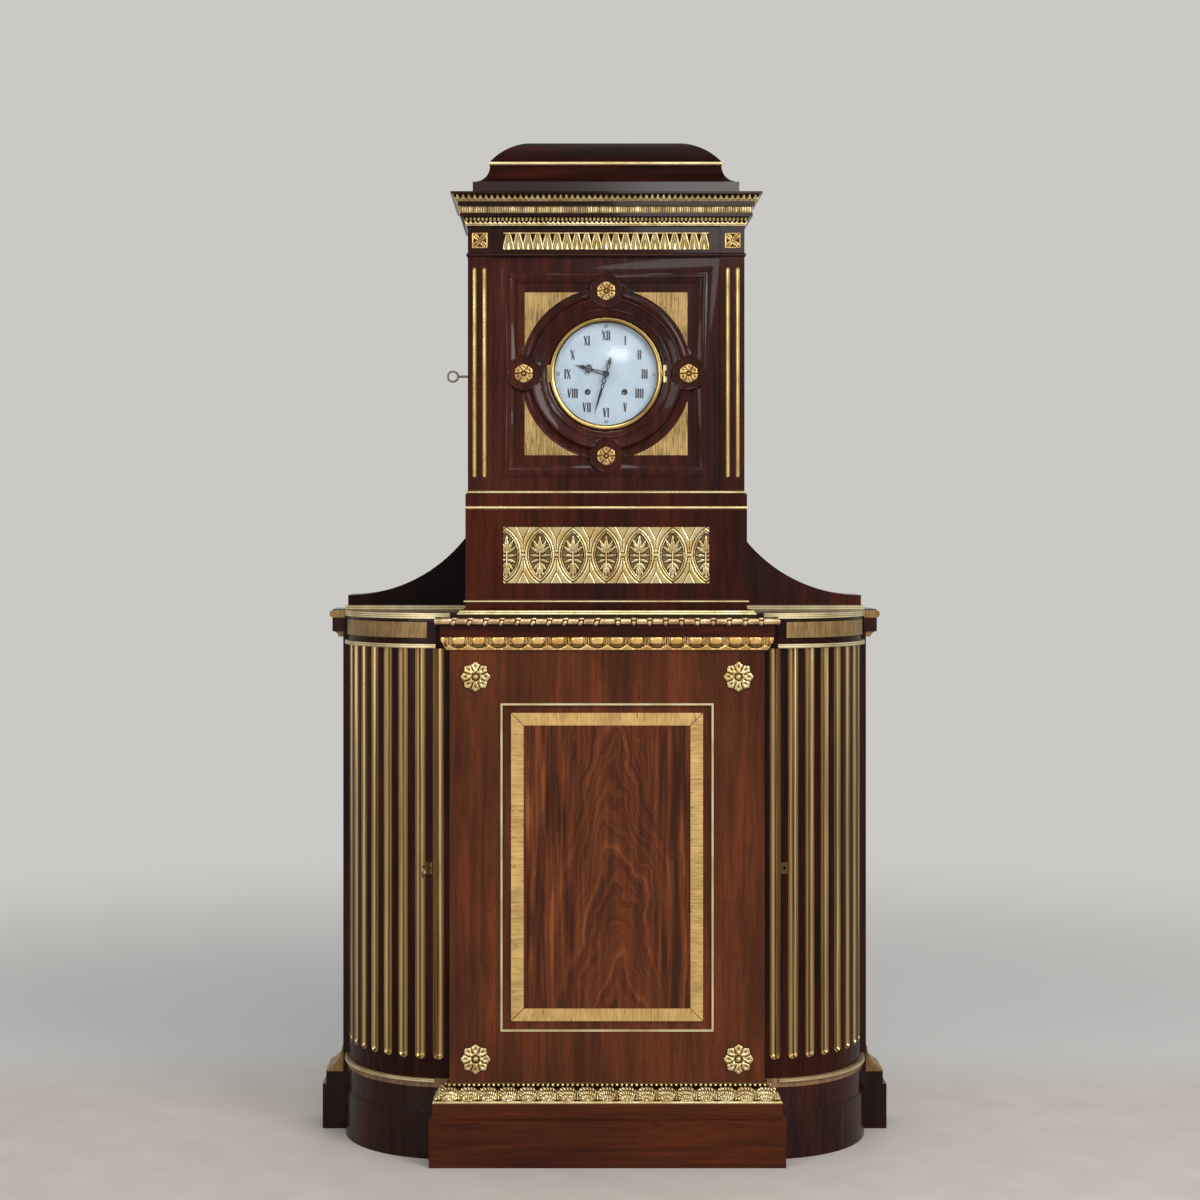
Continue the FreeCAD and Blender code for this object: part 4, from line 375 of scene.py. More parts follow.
# Gilt bronze sheet, combed: soft streaked sheen, never a mirror
combed_upright = material("combed_gilt_sheet",
                          combed("Z", "#B3945C", "#6E5429", "#3A2A12", 2.0, (0.26, 0.36)), Metallic=0.5)
combed_band = material("combed_gilt_band", combed("band", "#D2AF6C", "#AC8650", "#5A3E1C"),
                       Metallic=0.5)
toned_sheet = material("toned_gilt_sheet", combed("Z", "#967848", "#66502C", "#3A2912", 3.0),
                       Metallic=0.5)

# Drawn brass fillets and flute linings: long polished lines, with painted shade in the reeds' grooves and
# at the bezel's inner edge, and painted highlight and shade across the flutes
drawn_brass = material("drawn_brass", worked_metal("#EBD8A4", "#CDB47C", "X", (0.3, 0.42)), Metallic=0.8)
reeded_brass = material("reeded_brass", worked_metal("#E6D8AE", "#C2AD7E", "X", (0.36, 0.46), reed=4.0),
                        Metallic=0.85)
lining_brass = material("rolled_brass_lining", trough_lining("#D6BC88", "#8E7349", "#2E2110"),
                        Metallic=1.0)
strip_brass = material("rolled_brass_strip", worked_metal("#B7A068", "#97804D", "Z", (0.26, 0.38)),
                       Metallic=1.0)
turned_brass = material("spun_brass", worked_metal("#C0A067", "#94784A", rough=(0.2, 0.34)), Metallic=1.0)
bezel_brass = material("spun_bezel_brass",
                       worked_metal("#BCA268", "#957B4A", rough=(0.2, 0.32), seat=111.3), Metallic=1.0)
movement_brass = material("grained_clock_brass", worked_metal("#D9BA74", "#B4924F", "Z", (0.25, 0.4)),
                          Metallic=1.0)
bell_metal = material("turned_bell_metal", worked_metal("#CDB58A", "#A48C62", rough=(0.2, 0.34)),
                      Metallic=1.0)

# Steel: filed and oiled, browned by hands on the keys, or tempered to a blue-black
steel = material("filed_steel", worked_metal("#B9BBBD", "#8E9092", "Z", (0.25, 0.42)), Metallic=1.0)
worn_steel = material("worn_steel", worked_metal("#9A8D78", "#6A5F4E", rough=(0.28, 0.42)), Metallic=1.0)
blued_steel = material("blued_steel", painted("#2E3A42", "#1A2227"), Metallic=0.6, Roughness=0.32)

# Vitreous enamel dial and its fired black figures
enamel = material("white_vitreous_enamel", fired_enamel("#ABBCC8", "#9AADBA"), Roughness=0.24, IOR=1.5)
dial_black = material("fired_black_enamel", painted("#16191E", "#0D0F12"), Roughness=0.3, IOR=1.5)

# Crown glass over the dial
crown_glass = material("crown_glass", blown_glass, Transmission_Weight=1.0, Roughness=0.13, IOR=1.5)

# Gut lines of the weights
gut = material("twisted_gut_line", twisted_gut, Roughness=0.5, IOR=1.45)

FINISHES = {
    mahogany_upright: "front_board",
    mahogany_across: "plinth_front",
    tier_upright: "hood_base",
    tier_across: "cornice_front",
    dark_upright: "plinth_walls pilasters",
    hood_upright: "hood_front hood_posts hood_case hood_door",
    dark_across: "top_board hood_frieze hood_cornice",
    waxed_upright: "door_right door_left",
    waxed_across: "wing_friezes",
    dull_across: "caddy_top",
    shade_black_mahogany: "shoulders",
    flame_mahogany: "front_panel",
    oak: "floor_board back_board cheeks seat_board",
    ormolu: "base_moulding cornice_rope_moulding cornice_egg_moulding rosettes hood_mounts "
            "hood_cornice_mounts",
    combed_upright: "hood_spandrels",
    toned_sheet: "wing_mounts",
    combed_band: "front_panel_band",
    drawn_brass: "hood_fillets bezel_hinge",
    reeded_brass: "cabinet_fillets",
    lining_brass: "door_right_brass door_left_brass",
    strip_brass: "hood_flutes",
    bezel_brass: "bezel",
    turned_brass: "barrel_right barrel_left weight_right weight_left",
    movement_brass: "movement_frame pendulum",
    bell_metal: "bell",
    steel: "bolt_right bolt_left hood_lock hood_bolt crutch hammer",
    worn_steel: "key_left hood_key",
    blued_steel: "hour_hand minute_hand",
    enamel: "dial",
    crown_glass: "bezel_glass",
    gut: "line_right line_left",
}
for finish, names in FINISHES.items():
    for name in names.split():
        mesh = frame["nodes"][name].data
        mesh.materials.clear()
        mesh.materials.append(finish)


# Making and placing pieces

def depth(d):
    """The Y of a place d behind the foremost edge of the plinth."""
    return d - 210.0


# Half width and face of the cabinet's front; half width, face and back of the upper case; half
# width of the plaque and the frieze mount
TRUNK_HALF, TRUNK_FACE = 326, depth(43)
HOOD_CASE = (292, depth(134), depth(420))
MOUNT_HALF = 217


def meshed(bm, name, finish, crease):
    """A smooth-shaded mesh whose edges past crease degrees stay sharp."""
    mesh = bpy.data.meshes.new(name)
    bm.to_mesh(mesh)
    bm.free()
    mesh.materials.append(finish)
    mesh.shade_smooth()
    mesh.set_sharp_from_angle(angle=radians(crease))
    return mesh


def placed(name, data):
    piece = bpy.data.objects.new(name, data)
    scene.collection.objects.link(piece)
    return piece


def finished(bm, name, body, finish, nodes=(), crease=40, merge=0.001):
    """Closes off a mesh in millimetres: merged, turned outward, set in metres, put on its body."""
    if merge:
        bmesh.ops.remove_doubles(bm, verts=bm.verts, dist=merge)
        bmesh.ops.holes_fill(bm, edges=[e for e in bm.edges if e.is_boundary], sides=0)
    bmesh.ops.recalc_face_normals(bm, faces=bm.faces)
    bmesh.ops.scale(bm, vec=(MM, MM, MM), verts=bm.verts)
    piece = placed(name, meshed(bm, name, finish, crease))
    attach(piece, body)
    if nodes:
        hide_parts(*nodes)
    return piece


def mount(bm, name, finish, node, crease=70):
    """Closes off a gilt mount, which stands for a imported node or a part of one."""
    finished(bm, name, "case", finish, [node], crease)


def rounded(node):
    """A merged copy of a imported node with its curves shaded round."""
    source = frame["nodes"][node].data
    bm = bmesh.new()
    bm.from_mesh(source)
    bmesh.ops.remove_doubles(bm, verts=bm.verts, dist=0.002 * MM)
    name = node + "_rounded"
    piece = placed(name, meshed(bm, name, source.materials[0], 26))
    flats = piece.modifiers.new("flats", "WEIGHTED_NORMAL")
    flats.keep_sharp = True
    bodies = frame["record"]["behaviour"]["bodies"]
    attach(piece, next(body for body, nodes in bodies.items() if node in nodes))
    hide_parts(node)
    return piece


def steps(start, end, count):
    return [start + (end - start) * k / count for k in range(count + 1)]


def carve(stations, rows, place, lift, deep=1.0, walls=(0, -1), soil_and_shade=0.8):
    """A cast mount: a grid laid on place(s, row) and raised by lift(s, row) along place's way out.

    The rows named in walls lie on the ground and aren't raised. The attribute called hollow tells
    the finish how far each point lies below what surrounds it, and how low it lies, by soil_and_shade;
    the finish darkens those places, partly as patina and dirt, partly as painted shade.
    """
    across, up = len(stations) - 1, len(rows) - 1
    bm = bmesh.new()
    bmesh.ops.create_grid(bm, x_segments=across, y_segments=up, size=0.5)
    raised = np.array([[lift(s, row) for s in stations] for row in rows])
    for row in walls:
        raised[row] = 0.0
    around = raised.copy()
    for _ in range(3):
        padded = np.pad(around, 1, mode="edge")
        around = (padded[:-2, 1:-1] + padded[2:, 1:-1] + padded[1:-1, :-2] + padded[1:-1, 2:]
                  + 2 * around) / 6
    low = 1 - raised / max(raised.max(), 0.01)
    # Painted shade with patina: recesses and low ground are weighted here to be darkened by the finish
    sunk = np.clip(1.7 * (around - raised) / deep + soil_and_shade * low ** 2, 0, 1)
    layer = bm.verts.layers.float.new("hollow")
    grid = {}
    for vert in bm.verts:
        i, j = round((vert.co.x + 0.5) * across), round((vert.co.y + 0.5) * up)
        grid[vert] = j
        vert.co = place(stations[i], rows[j], raised[j][i])
        vert[layer] = sunk[j][i]
    if len(walls) == 2:
        rims = [e for e in bm.edges if e.is_boundary and all(grid[v] in (0, up) for v in e.verts)]
        bmesh.ops.bridge_loops(bm, edges=rims)
    return bm


def profile(points, count):
    """Samples a section given as (out, z) points into rows of (run, out, z, way out, way up)."""
    lengths = [hypot(b[0] - a[0], b[1] - a[1]) for a, b in zip(points, points[1:])]
    total, rows = sum(lengths), []
    for target in steps(0, total, count):
        run = 0
        for (a, b), length in zip(zip(points, points[1:]), lengths):
            if target <= run + length + 1e-9:
                share = (target - run) / length
                out, z = a[0] + (b[0] - a[0]) * share, a[1] + (b[1] - a[1]) * share
                rows.append((target, out, z, (b[1] - a[1]) / length, -(b[0] - a[0]) / length))
                break
            run += length
    return rows, total


def bulge(start, end, rise, count=12):
    """Points of a shallow arc from start to end that stands rise off the chord, facing out."""
    (x0, z0), (x1, z1) = start, end
    length = hypot(x1 - x0, z1 - z0)
    side = ((z1 - z0) / length, -(x1 - x0) / length)
    return [(x0 + (x1 - x0) * t + side[0] * rise * 4 * t * (1 - t),
             z0 + (z1 - z0) * t + side[1] * rise * 4 * t * (1 - t)) for t in steps(0, 1, count)]


def round_case(half, face, rear):
    """Places rows of a section round the front and both ends of a case, mitred at the corners."""
    leg = rear - face

    def place(s, row, raised):
        out, z = row[1] + row[3] * raised, row[2] + row[4] * raised
        if abs(s) <= half + 1e-6:
            return s * (half + out) / half, face - out, z
        side = 1 if s > 0 else -1
        return side * (half + out), face - out + (abs(s) - half) / leg * (leg + out), z
    return place, leg


def moulding(half, face, rear, points, lift, rows, step, deep=1.0, soil_and_shade=0.8):
    """A carved moulding round a case; lift(s, t) takes the place along it and the share up it."""
    place, leg = round_case(half, face, rear)
    section, length = profile(points, rows)
    section = [(0, 0, points[0][1], 0, 0)] + section + [(length, 0, points[-1][1], 0, 0)]
    sides = max(2, ceil(leg / step))
    stations = (steps(-half - leg, -half, sides) + steps(-half, half, ceil(2 * half / step))[1:]
                + steps(half, half + leg, sides)[1:])

    def measured(s, row):
        if abs(s) <= half + 1e-6:
            return lift(s * (half + row[1]) / half, row[0] / length)
        past = half - row[1] + (abs(s) - half) / leg * (leg + row[1])
        return lift(past if s > 0 else -past, row[0] / length)
    return carve(stations, section, place, measured, deep, soil_and_shade=soil_and_shade)


def plate(half, low, high, wall, lift, base, step, middle=0.0, deep=1.0, soil_and_shade=0.8):
    """A flat carved plate on a wall; lift(x, z) is measured from its middle."""
    mid = (low + high) / 2
    heights = steps(low, high, ceil((high - low) / step))
    rows = [(0, 0, low)] + [(0, base, z) for z in heights] + [(0, 0, high)]
    stations = steps(middle - half, middle + half, ceil(2 * half / step))
    return carve(stations, rows, lambda s, row, raised: (s, wall - row[1] - raised, row[2]),
                 lambda s, row: lift(s - middle, row[2] - mid), deep, soil_and_shade=soil_and_shade)


def near(value, middle, width):
    """A rounded ridge: 1 on the middle, 0 from a width away."""
    gap = abs(value - middle) / width
    return sqrt(1 - gap * gap) if gap < 1 else 0.0


def dip(value, width):
    """A bell: 1 at nothing, fading away over a width to either side."""
    return exp(-(value / width) ** 2)


def soft(value, low, high):
    """A smooth step from 0 at low to 1 at high."""
    share = min(max((value - low) / (high - low), 0.0), 1.0)
    return share * share * (3 - 2 * share)


def tiled(s, pitch, start=0.0):
    """The distance from the middle of the nearest tile of a repeat."""
    return (s - start + pitch / 2) % pitch - pitch / 2


def leaf(x, z, root, turn, length, width, height, lobes=3):
    """The height of one leaf at a point: lobed edges, a raised curve and a veined middle."""
    dx, dz = x - root[0], z - root[1]
    along = (dx * sin(turn) + dz * cos(turn)) / length
    if along <= 0 or along >= 1:
        return 0.0
    across = dx * cos(turn) - dz * sin(turn)
    edge = width * sin(pi * along ** 0.8) * (0.78 + 0.22 * abs(sin(pi * lobes * along)))
    if abs(across) >= edge:
        return 0.0
    curve = sqrt(1 - (across / edge) ** 2) * (0.6 + 0.4 * along)
    return height * curve * (1 - 0.45 * dip(across, 0.8))


for node in "door_right door_left plinth_walls wing_friezes hood_front hood_cornice".split():
    rounded(node)


def refaced(piece, finish, chosen):
    """Gives a second finish to the faces whose middle passes the test."""
    piece.data.materials.append(finish)
    for face in piece.data.polygons:
        face.material_index = int(chosen(face.center))


# The right shoulder takes a redder, lighter finish than the left: painted light on the right one and
# painted shade on the left; the caddy's foot keeps its bright polish; the winding squares at the
# barrels' front ends are steel
CADDY_FOOT, SQUARE_END = 2046.5, depth(175)
refaced(rounded("shoulders"), hood_upright, lambda middle: middle.x > 0)
refaced(rounded("caddy_top"), bright_across, lambda middle: middle.z < CADDY_FOOT * MM)
for _, hand in SIDES:
    refaced(rounded(f"barrel_{hand}"), steel, lambda middle: middle.y < SQUARE_END * MM)
for node in "door_right_brass door_left_brass hood_flutes cabinet_fillets bezel".split():
    rounded(node)


# The cast mounts of the cabinet

def egg_lift(s, t):
    """Square-shouldered eggs, twin rods between them and tongues pointing up below."""
    pitch = 2 * TRUNK_HALF / 16
    x = tiled(s, pitch, pitch / 2)
    egg = (abs(x / 13.2) ** 3 + abs((t - 0.74) / 0.33) ** 3) ** (1 / 3)
    edge = 20.4 - abs(x)
    high = 4.2 * near(egg, 0, 1)
    if t > 0.44:
        high = max(high, 2.6 * near(edge, 2.4, 1.5), 1.6 * near(edge, 5.8, 1.2))
    return max(high, 3.6 * soft(17.5 * (1 - t / 0.46) - edge, 0, 2.0), 3.0 if t < 0.08 else 0.0)


EGG = [(3, 1062.9), (4, 1064.5)] + bulge((4, 1064.5), (14, 1085.4), 2.0)[1:] + [(14.5, 1087.9)]
bm = moulding(TRUNK_HALF, TRUNK_FACE, depth(71.8), EGG, egg_lift, rows=20, step=1.3, deep=1.3, soil_and_shade=0.7)
mount(bm, "gilt_egg_and_tongue", warm_ormolu, "cornice_egg_moulding", 60)


def ribbon_lift(s, t):
    """Round sticks end to end, tied at each joint by a ribbon: a flat turn above, a ball below."""
    lean = 3.0 * (2 * t - 1) if s < 0 else 0.0
    gap = abs(tiled(abs(s) + lean, 32.6, 21.6)) if abs(s) < 331 else 16.0
    stick = 3.4 * near(t, 0.55, 0.36) * soft(gap, 5.2, 6.8)
    turn = 3.4 * near(hypot((gap / 5.6) ** 2, (t - 0.83) / 0.15), 0, 1)
    ball = 3.9 * near(hypot(gap / 5.2, (t - 0.33) / 0.3), 0, 1)
    return max(0.1, stick, turn, ball)


ROPE = bulge((22.2, 1112.2), (22.2, 1127.2), 4.6, 14)
bm = moulding(TRUNK_HALF, TRUNK_FACE, depth(73), ROPE, ribbon_lift, rows=20, step=1.1, soil_and_shade=1.1)
mount(bm, "gilt_ribbon_and_reed", rose_ormolu, "cornice_rope_moulding", 60)


def acanthus_lift(s, t):
    """Broad acanthus leaves side by side, each a fan of short split lobes from its root."""
    if t < 0.13:
        return 1.8
    if t > 0.81:
        return 1.8 * near(t, 0.98, 0.04)
    x = tiled(s, 692 / 17)
    rise = (t - 0.13) * 42 + 3
    reach, turn = hypot(x, rise), atan2(x, rise)
    body = abs(x / 18.6) ** 3.0 + abs((t - 0.43) / 0.31) ** 3.0 + 0.14 * abs(sin(8 * turn))
    if body > 1:
        return 2.0 * near(20.35 - abs(x), 0, 1.4) if 0.2 < t < 0.6 else 0.0
    fine = soft(reach, 9, 15)
    rib = abs(cos(7 * turn)) * (1 - fine) + abs(cos(13 * turn + 0.25 * reach)) * fine
    split = 0.45 + 0.55 * abs(sin(pi * (reach - 3 * abs(turn)) / 7.5))
    return 0.2 + 3.4 * rib ** 0.8 * split


LEAF = ([(31, 128.4), (32, 129), (32, 132.4)] + bulge((30.5, 133), (8, 156.6), 3.0)
        + [(4.5, 157.6), (4.5, 165.6), (6.5, 166.4)])
bm = moulding(TRUNK_HALF, TRUNK_FACE, depth(68.6), LEAF, acanthus_lift, rows=44, step=1.1,
              deep=1.1, soil_and_shade=1.0)
beads = [Matrix.Translation((place * 10.19, TRUNK_FACE - 6.4, 161.6)) for place in range(-32, 33)]
beads += [Matrix.Translation((side * 332.4, depth(47) + place * 9.4, 161.6))
          for side in (-1, 1) for place in range(3)]
for spot in beads:
    bmesh.ops.create_uvsphere(bm, u_segments=10, v_segments=7, radius=3.5, matrix=spot)
mount(bm, "gilt_acanthus_and_pearls", ormolu, "base_moulding", 60)


def rosette(name, x, z, radius, wall, base, rise, petals, finish, point):
    """A rosette of pointed petals with eyes in them, ribs between and a domed boss."""
    k, pitch = radius / 30, 2 * pi / petals

    def lift(turn, row):
        share, r = row[1], row[1] * radius
        across = tiled(turn, pitch) * r
        edge = pitch / 2 * r - abs(across)
        high = base + rise * near(share, 0.6, 0.52)
        high -= rise * 0.8 * dip(edge, 1.2 * k) * soft(share, 0.3, 0.5)
        high -= rise * 0.6 * dip(across, 2.2 * k) * dip(r - 21 * k, 3.6 * k)
        high += rise * 0.35 * dip(across, 1.6 * k) * dip(r - 12.5 * k, 3.5 * k)
        high -= rise * 0.7 * dip(r - 7.6 * k, 1.6 * k)
        return max(0.5, high, (base + rise * 1.25) * near(share, 0, 0.2))

    def place(turn, row, raised):
        off = abs(tiled(turn, pitch)) / (pitch / 2)
        notch = 1 - point * (off - 0.25 * max(0.0, sin(3 * pi * off))) * soft(row[1], 0.4, 1.0)
        r = row[1] * radius * notch
        return x + r * sin(turn), wall - raised, z + r * cos(turn)

    rows = [(0, share) for share in steps(0, 1, 26)] + [(0, 1.0)]
    bm = carve(steps(0, 2 * pi, 128), rows, place, lift, deep=rise * 0.3, walls=(-1,), soil_and_shade=1.0)
    mount(bm, name, finish, "rosettes")


# The large rosettes by the cabinet's corners, and the small ones on the four ears of the dial's ring
CORNER = {"radius": 30, "wall": TRUNK_FACE, "base": 1.4, "rise": 5.0, "petals": 8, "finish": ormolu,
          "point": 0.16}
EAR = {"radius": 19.5, "wall": depth(130), "base": 0.8, "rise": 3.4, "petals": 6,
       "finish": rubbed_ormolu, "point": 0.05}
CORNER_X, CORNER_LOW, CORNER_HIGH = 272, 214, 1005
EAR_OUT = 174
for side, hand in SIDES:
    rosette(f"rosette_{hand}_low", side * CORNER_X, CORNER_LOW, **CORNER)
    rosette(f"rosette_{hand}_high", side * CORNER_X, CORNER_HIGH, **CORNER)
    rosette(f"ear_rosette_{hand}", side * EAR_OUT, DIAL_Z, **EAR)
for side, level in ((-1, "low"), (1, "high")):
    rosette(f"ear_rosette_{level}", 0, DIAL_Z + side * EAR_OUT, **EAR)


# The cast mounts of the upper case: the heights of their lower and upper edges

PLAQUE_SPAN = (1197, 1315)
FRIEZE_SPAN = (1902, 1937)
FLOWER_SPAN, FLOWER_X = (1903, 1937), 267
SPRAY = [((0, 8), 0, 34, 4.6), ((1.5, 7), 26, 29, 4.0), ((2, 4), 52, 23, 3.6), ((2, -2), 84, 20, 3.6),
         ((2, -9), 112, 19, 3.2), ((1, -16), 142, 20, 3.4), ((0.5, -18), 166, 27, 3.0),
         ((0, -20), 180, 33, 3.6)]


def plaque_lift(x, z):
    """Pointed ovals with double rims round an acanthus spray, clasped, in a ground cut with Y shapes."""
    u = tiled(x, 70)
    a, gap, tall = abs(u), 35 - abs(u), abs(z)
    inside = 67.9 - hypot(a + 36.9, z)
    if inside > 0:
        high = max(3.3 * near(inside, 2.2, 2.5), 2.6 * near(inside, 6.7, 1.3))
        if inside > 7.6:
            for (rx, rz), turn, length, width in SPRAY:
                high = max(high, leaf(a, z, (rx, rz), radians(turn), length, width, 3.0))
            high = max(high, 2.6 * near(a, 0, 1.8) if -30 < z < 8 else 0.0)
            high -= 2.6 * exp(-((a - 5.2) ** 2 + (z + 6) ** 2) / 5)
        return max(high, 0.3)
    if tall < 3:
        return 3.0
    high = 2.4 - 1.8 * dip(inside + 1.2, 0.9) - 2.0 * dip(tall - 4.4, 0.9)
    arm = max(0.0, tall - 33) * 0.5
    return high - (1.9 * dip(gap - arm, 1.0) if tall > 9 else 0.0)


bm = plate(MOUNT_HALF, *PLAQUE_SPAN, depth(129), plaque_lift, base=1.3, step=1.05, soil_and_shade=0.95)
mount(bm, "gilt_oval_plaque", ormolu, "hood_mounts")


def loops_lift(x, z):
    """Steep arches that cross, a leaf at each foot, and sunk drops hanging between their heads, darkened
    as painted shade with patina.
    """
    pitch, high, above = 2 * MOUNT_HALF / 21, 0.0, True
    for k in (-1, 0, 1):
        dx = abs(tiled(x, pitch) + k * pitch)
        reach = 5.2 + 0.25 * (11 - z) if z < 11 else 5.2 * near(z, 11, 5.2)
        away = reach - dx
        high = max(high, 2.4 * near(away, 0.6, 1.7))
        above = above and away < 0
    dx = tiled(x, pitch)
    if not above:
        foot = near(dx, 0, max(0.4, 3.6 - 0.2 * (z + 17))) * (z < 2)
        high = max(high, 2.2 * foot, 0.7)
    return max(high, 2.0 * near(z, 16.8, 1.5), 1.6 * near(z, -16.8, 1.0))


bm = plate(MOUNT_HALF, *FRIEZE_SPAN, depth(139), loops_lift, base=0.4, step=0.85, deep=0.8, soil_and_shade=1.0)
mount(bm, "gilt_frieze_of_loops", ormolu, "hood_mounts")


def square_lift(x, z):
    """Four petals set cornerwise in a knotted square, with sunk eyes between them, darkened as painted
    shade with patina.
    """
    reach = hypot(x, z)
    turn = tiled(atan2(x, z), pi / 2, pi / 4)
    across, along = reach * sin(turn), reach * cos(turn)
    petal = hypot(across / 6.0, (along - 10.5) / 9.0)
    high = 2.6 * near(petal, 0, 1) - 1.5 * dip(across, 1.1) * (petal < 1)
    return max(high, 2.8 * near(reach, 0, 3.2), 1.7 * near(max(abs(x), abs(z)), 15.0, 1.8))


for side, hand in SIDES:
    bm = plate(17, *FLOWER_SPAN, depth(134), square_lift, base=0.3, step=0.85,
               middle=side * FLOWER_X, soil_and_shade=1.1)
    mount(bm, f"gilt_corner_flower_{hand}", rubbed_ormolu, "hood_mounts")


def low_leaf_lift(s, t):
    """Small low leaves over a row of points, over two plain fillets."""
    if t < 0.26:
        return 1.7 * max(near(t, 0.06, 0.06), near(t, 0.19, 0.06))
    if t < 0.48:
        wide = 4.6 * (0.48 - t) / 0.22
        return 1.6 * near(tiled(s, 10.2), 0, wide) if wide > 0.3 else 0.0
    return 0.9 * near(tiled(s, 8.4), 0, 2.4) * near(t, 0.7, 0.2)


def tooth_lift(s, t):
    """Pointed leaves like teeth standing on a fillet."""
    if t < 0.24:
        return 1.8
    wide = 6.2 * (0.95 - t) / 0.71
    return 3.0 * near(tiled(s, 12.0), 0, wide) if wide > 0.2 else 0.0


def comb_lift(s, t):
    """Close upright reeds of uneven width and height."""
    return 0.4 + abs(sin(pi * s / 4.9)) * (0.7 + 0.5 * sin(s * 0.31) * sin(s * 0.117))


LOW = [(2, 1951), (3, 1953)] + bulge((3, 1953), (9.8, 1968), -1.0)[1:] + [(9.8, 1969)]
bm = moulding(*HOOD_CASE, LOW, low_leaf_lift, rows=22, step=1.1, deep=0.8, soil_and_shade=1.0)
mount(bm, "gilt_low_leaves", ormolu, "hood_cornice_mounts", 60)
BAND = [(14, 1976), (14.8, 1976.6), (14.8, 1990.4), (14, 1991)]
bm = moulding(*HOOD_CASE, BAND, comb_lift, rows=6, step=1.2, deep=0.7, soil_and_shade=1.4)
mount(bm, "gilt_reeded_band", pale_ormolu, "hood_cornice_mounts", 60)
TEETH = [(19, 2001), (19.6, 2001.6), (29, 2013), (29, 2014)]
bm = moulding(*HOOD_CASE, TEETH, tooth_lift, rows=14, step=1.0, deep=0.8, soil_and_shade=1.3)
mount(bm, "gilt_pointed_leaves", ormolu, "hood_cornice_mounts", 60)

# Two reeds over a hollow along the brass band of the slab under the upper case; the hollow is darkened as
# painted shade
REEDS = [(10.5, 1128.2), (10.5, 1129.2), (0.7, 1141.4), (0.2, 1141.4)]
bm = moulding(303, depth(57), depth(70.5), REEDS,
              lambda s, t: 1.5 * max(near(t, 0.84, 0.15), near(t, 0.53, 0.15)),
              rows=33, step=30, deep=0.5, soil_and_shade=1.1)
finished(bm, "reeded_slab_band", "case", cream_ormolu, crease=80)

# Half-round brass strings of the upper case, and the wooden one under its frieze
for name, half, face, rear, low, high, out, finish, slot in (
        ("string_low", 297, 129, 420, 1155, 1161, 4, drawn_brass, "polished_brass"),
        ("string_high", 297, 129, 420, 1353, 1359, 2, drawn_brass, "polished_brass"),
        ("string_foot", 292, 134, 420, 1385, 1392, 5, drawn_brass, "polished_brass"),
        ("string_caddy", 247, 179, 277, 2087, 2094, 2, drawn_brass, "polished_brass"),
        ("astragal_frieze", 292, 134, 180, 1885, 1894, 3.4, dark_across, "mahogany")):
    section = [(0, low)] + bulge((0, low), (0, high), out, 10)[1:]
    bm = moulding(half, depth(face), depth(rear), section, lambda s, t: 0.0, rows=11, step=40)
    if name == "string_caddy":
        # Its other half, mirrored, runs round the back
        everything = bm.verts[:] + bm.edges[:] + bm.faces[:]
        for part in bmesh.ops.duplicate(bm, geom=everything)["geom"]:
            if isinstance(part, bmesh.types.BMVert):
                part.co.y = 2 * depth(rear) - part.co.y
    finished(bm, name, "case", finish, ["hood_fillets"], 50)


# Dial figures

DIAL_FACE = depth(146)
HOURS_RADIUS, MINUTES_RADIUS = 81.5, 101
WINDING_X, WINDING_DROP = 39, 38


def stroke(bm, x, z, width, height, lean=0.0, thick=0.12):
    """One upright or slanting stroke of a figure, standing on the dial face."""
    shape = Matrix(((width, 0, lean, x), (0, thick, 0, DIAL_FACE - thick / 2), (0, 0, height, z),
                    (0, 0, 0, 1)))
    bmesh.ops.create_cube(bm, size=1, matrix=shape)


def figure(bm, letters, x, z):
    """A Roman numeral in upright strokes with hairline serifs."""
    height, thick, thin = 19.5, 3.5, 1.6
    widths = {"I": 4.6, "V": 9.0, "X": 9.6}
    left = x - sum(widths[c] for c in letters) / 2
    for c in letters:
        mid = left + widths[c] / 2
        reach = widths[c] - 3.4
        if c == "I":
            stroke(bm, mid, z, thick, height)
            feet = [(mid, -1), (mid, 1)]
        elif c == "V":
            stroke(bm, mid - reach / 4, z, thick, height, -reach / 2)
            stroke(bm, mid + reach / 4, z, thin, height, reach / 2)
            feet = [(mid - reach / 2, 1), (mid + reach / 2, 1)]
        else:
            stroke(bm, mid, z, thick, height, -reach)
            stroke(bm, mid, z, thin, height, reach)
            feet = [(mid + side * reach / 2, end) for side in (-1, 1) for end in (-1, 1)]
        for foot, end in feet:
            stroke(bm, foot, z + end * height / 2, 3.6, 0.7)
        left += widths[c]


bm = bmesh.new()
for hour, letters in enumerate("XII I II III IIII V VI VII VIII IX X XI".split()):
    turn = radians(30 * hour)
    figure(bm, letters, HOURS_RADIUS * sin(turn), DIAL_Z + HOURS_RADIUS * cos(turn))
finished(bm, "dial_hours", "case", dial_black, merge=0)

